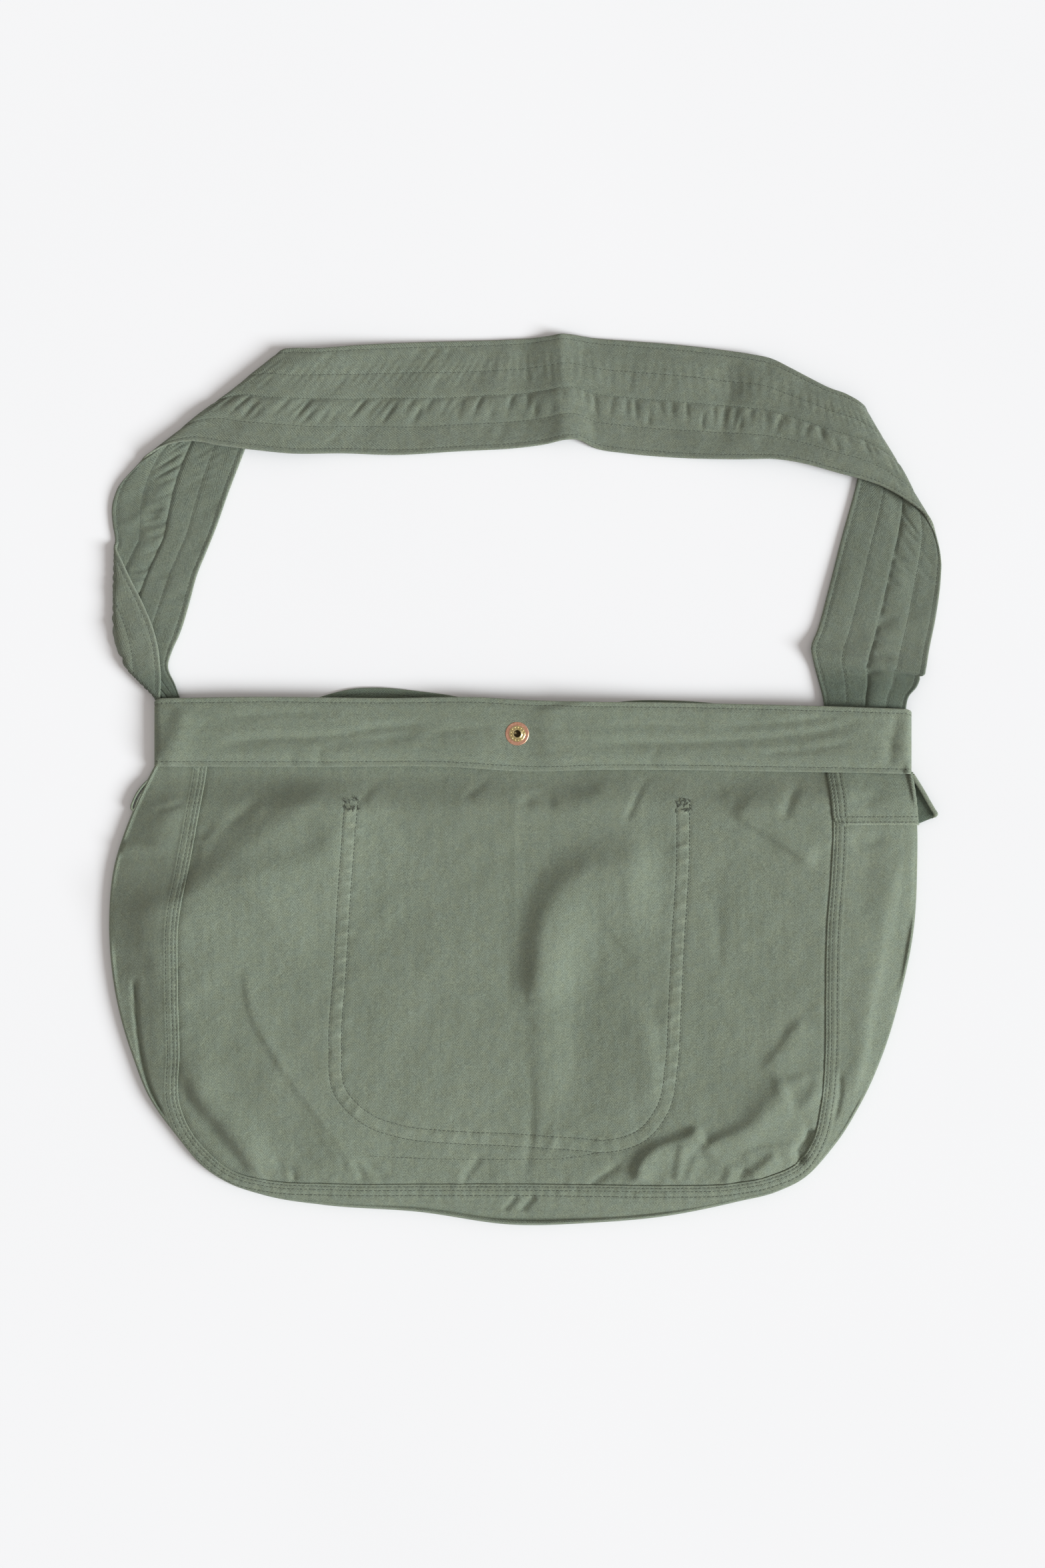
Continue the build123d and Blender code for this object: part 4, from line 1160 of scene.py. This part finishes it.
def left_tab():
    """Folded corner of the left side patch: a doubled strip on edge, bent back on itself."""
    path = along(LEFT_TAB, np.linspace(0, knots(LEFT_TAB)[-1], 60))
    way = np.gradient(path, axis=0)
    way = way / np.linalg.norm(way, axis=1, keepdims=True)
    side = np.stack([-way[:, 1], way[:, 0]], axis=1)
    angle = np.linspace(0, 2 * math.pi, 13)[:-1]
    wide = 0.88 * np.sign(np.cos(angle)) * np.abs(np.cos(angle)) ** 0.6
    high = 2.0 * np.sign(np.sin(angle)) * np.abs(np.sin(angle)) ** 0.6
    ends = np.minimum(1, np.sin(np.linspace(0.12, math.pi - 0.12, len(path))) * 2.4)[:, None]
    flat = path[:, None, :] + side[:, None, :] * (wide[None, :] * ends)[..., None]
    z = 2.9 + high[None, :] * ends + 0 * flat[..., 0]
    grid = np.dstack([flat, z[..., None]])
    rows, columns = grid.shape[:2]
    faces = [f[::-1] for f in grid_faces(rows, columns, False, True)]
    faces += [tuple(range(columns)), tuple((rows - 1) * columns + k for k in range(columns - 1, -1, -1))]
    uv = np.stack(np.meshgrid(np.arange(columns) * 0.9, np.arange(rows) * 0.8), axis=2)
    tab = new_object("left_tab_cloth", grid.reshape(-1, 3), faces, uv.reshape(-1, 2))
    tip = np.exp(-((path[:, 1] - 97.5) / 1.8) ** 2)[:, None]
    top = ease(high, 1.2, 1.9)[None, :]
    # Painted shade on the sides of the doubled strip below its top, away from the tip; the tip is rubbed
    # pale.
    paint_wear_and_shade(tab, 1.0 * tip + 0.1 * top, 0.75 * (1 - top) * (1 - tip))
    finish_cloth(tab, "gusset")
    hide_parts("side_tab_left")
    return tab


def snap_cup():
    """Tarnished bottom of the eyelet's hole."""
    rings = [(0.02, -0.55), (0.6, -0.5), (1.1, -0.3), (1.6, 0.05), (1.9, 0.3), (2.12, 0.4)]
    turn = np.linspace(0, 2 * math.pi, 41)[:-1]
    x, y, z = *SNAP, BAND_TOP_Z + 0.65
    points = [(x + r * math.cos(a), y + r * math.sin(a), z + h) for r, h in rings for a in turn]
    cup = new_object("snap_cup", points, [f[::-1] for f in grid_faces(len(rings), len(turn), False, True)])
    thicken(cup, 0.2)
    cup.data.materials.append(materials["patina"])
    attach(cup, "front")
    return cup


# ---- build --------------------------------------------------------------------------------------
front = front_panel()
gusset_piece, gusset_points, gusset_length, gusset_normals = gusset()
band, band_outer, band_inner, band_normal, band_share, band_width = mouth_band()
back = back_panel()
pocket = inner_pocket()
strap_piece, strap_over, strap_under, strap_normal, strap_widths = strap()
patch, patch_points, patch_wide, patch_run = side_patch(gusset_points, gusset_length, gusset_normals)
tab_right = right_tab()
tab_left = left_tab()
cup = snap_cup()

# Stitches of the front panel.
front_thread = Stitches("front_stitches", 101)


def on_front(line, step=1.0):
    """Places and normals on the front surface along a flat line."""
    run = knots(line)
    flat = along(line, np.arange(0, run[-1], step))[:, :2]
    x, y = flat[:, 0], flat[:, 1]
    z = front_surface(x, y)
    slope_x = (front_surface(x + 0.8, y) - front_surface(x - 0.8, y)) / 1.6
    slope_y = (front_surface(x, y + 0.8) - front_surface(x, y - 0.8)) / 1.6
    normal = np.column_stack([-slope_x, -slope_y, np.ones(len(x))])
    return np.column_stack([x, y, z]), normal / np.linalg.norm(normal, axis=1, keepdims=True)


row_way = np.gradient(pocket_line[:, :2], axis=0)
row_way = row_way / np.linalg.norm(row_way, axis=1, keepdims=True)
outer_row = pocket_line[:, :2] - np.stack([-row_way[:, 1], row_way[:, 0]], axis=1) * POCKET_GAP
front_thread.row(*on_front(pocket_line[:, :2]), lift=0.12)
front_thread.row(*on_front(outer_row), lift=0.12)
front_thread.row(*on_front(POCKET_EXTRA), lift=0.08, width=0.5)
for end_row in (0, -1):
    corner_a, corner_b = pocket_line[end_row, :2], outer_row[end_row]
    for k in range(26):
        f, drop = front_thread.pick.uniform(-0.12, 1.12), front_thread.pick.uniform(-1.5, 6.5)
        spot = corner_a + (corner_b - corner_a) * f - np.array([0, drop])
        height = front_surface(spot[:1], spot[1:2])[0] + 0.2
        angle = front_thread.pick.uniform(0, math.pi)
        way = np.array([math.cos(angle), math.sin(angle), 0])
        front_thread.add(np.array([*spot, height]), way, np.array([0, 0, 1.0]), 2.6, 0.6)
front_stitches = front_thread.build()
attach(front_stitches, "front")
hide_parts("bartacks")

# Triple rows of the gusset, at the front seam and the back seam, and the patch's rows.
gusset_thread = Stitches("gusset_stitches", 102)
for row in SEAM_ROWS:
    column = int(np.argmin(np.abs(gusset_length[0] - row)))
    gusset_thread.row(gusset_points[:-1, column], gusset_normals[:-1, column], lift=0.12)
for edge in (1.7, 8.6):
    column = int(np.argmin(np.abs(gusset_length[len(gusset_length) // 4] - (GUSSET_WIDTH - edge))))
    gusset_thread.row(gusset_points[:, column], gusset_normals[:, column], lift=0.1)
for row in (1.4, 4.7):
    k = int(np.argmin(np.abs(patch_run[:, 0] - row)))
    line = patch_points[k, 2:-2]
    gusset_thread.row(line, np.repeat([[0.15, 0, 1.0]], len(line), 0), lift=0.15)
for row in SEAM_ROWS:
    column = int(np.argmin(np.abs(patch_wide[0] - row)))
    line = patch_points[3:, column]
    gusset_thread.row(line, np.repeat([[0, 0, 1.0]], len(line), 0), lift=0.2)
gusset_stitches = gusset_thread.build()

# Two rows round the band, on its outside, and one on the inside of the back half.
band_thread = Stitches("band_stitches", 103)
for row in (3.4, 41.6):
    column = int(np.argmin(np.abs(band_width - row)))
    band_thread.row(band_outer[:, column], band_normal[:, column], lift=0.12)
column = int(np.argmin(np.abs(band_width - 41.6)))
band_thread.row(band_inner[band_share == 1, column], -band_normal[band_share == 1, column], lift=0.1)
band_stitches = band_thread.build()

# Five rows along the strap, on both of its faces.
strap_thread = Stitches("strap_stitches", 104)
for row in STRAP_ROWS:
    column = int(np.argmin(np.abs(strap_widths - row)))
    strap_thread.row(strap_over[:, column], strap_normal[:, column], lift=0.06, width=0.46)
    strap_thread.row(strap_under[:, column], -strap_normal[:, column], lift=0.06, width=0.46)
strap_stitches = strap_thread.build()

# ---- what moves with what ------------------------------------------------------------------------
for piece in (gusset_piece, band, patch, gusset_stitches, band_stitches):
    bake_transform(piece)
for tab in (tab_right, tab_left):
    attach(tab, "back")
for piece in (strap_piece, strap_stitches):
    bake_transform(piece)

# ---- snap ------------------------------------------------------------------------------------------
for node, finish in (
    ("snap_front_washer", "copper"), ("snap_back_washer", "copper"), ("snap_front_eyelet", "brass"),
    ("snap_back_eyelet", "brass"), ("snap_socket", "brass"), ("snap_spring", "brass"), ("snap_stud", "brass"),
):
    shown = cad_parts[node]
    shown.data.materials.clear()
    shown.data.materials.append(materials[finish])

# ---- stage -------------------------------------------------------------------------------------------
def floor():
    n = Nodes("paper")
    solid = n.add("ShaderNodeTexCoord").outputs["Object"]
    tone = n.mix(n.noise(solid, 3, 2), (0.905, 0.90, 0.905), (0.935, 0.93, 0.935))
    n.link(tone, n.shader.inputs["Base Color"])
    n.shader.inputs["Roughness"].default_value = 0.85
    n.shader.inputs["Specular IOR Level"].default_value = 0.2
    bpy.ops.mesh.primitive_plane_add(size=14, location=(0, 0, -0.0002))
    plane = bpy.context.object
    plane.name = "floor"
    plane.data.materials.append(n.material)


floor()
sun = bpy.data.lights.new("window", "SUN")
sun.energy = 4.1
sun.angle = math.radians(26)
sun.color = (0.955, 1.01, 1.045)
window = bpy.data.objects.new("window", sun)
bpy.context.scene.collection.objects.link(window)
window.rotation_euler = Vector((-0.84, 0.31, -0.44)).to_track_quat("-Z", "Y").to_euler()
world = bpy.data.worlds.new("studio")
bpy.context.scene.world = world
world.use_nodes = True
world.node_tree.nodes["Background"].inputs["Color"].default_value = (1.0, 0.945, 0.91, 1)
world.node_tree.nodes["Background"].inputs["Strength"].default_value = 0.45

lens = bpy.data.cameras.new("camera")
lens.lens = 50
lens.sensor_width = 36
camera = bpy.data.objects.new("camera", lens)
bpy.context.scene.collection.objects.link(camera)
VIEW_HEIGHT = 1.404
VIEW_CENTRE = (0.006, 0.1147)
camera.location = (*VIEW_CENTRE, VIEW_HEIGHT)
camera.rotation_euler = (0, 0, 0)
bpy.context.scene.camera = camera
bpy.context.scene.view_settings.view_transform = "Standard"
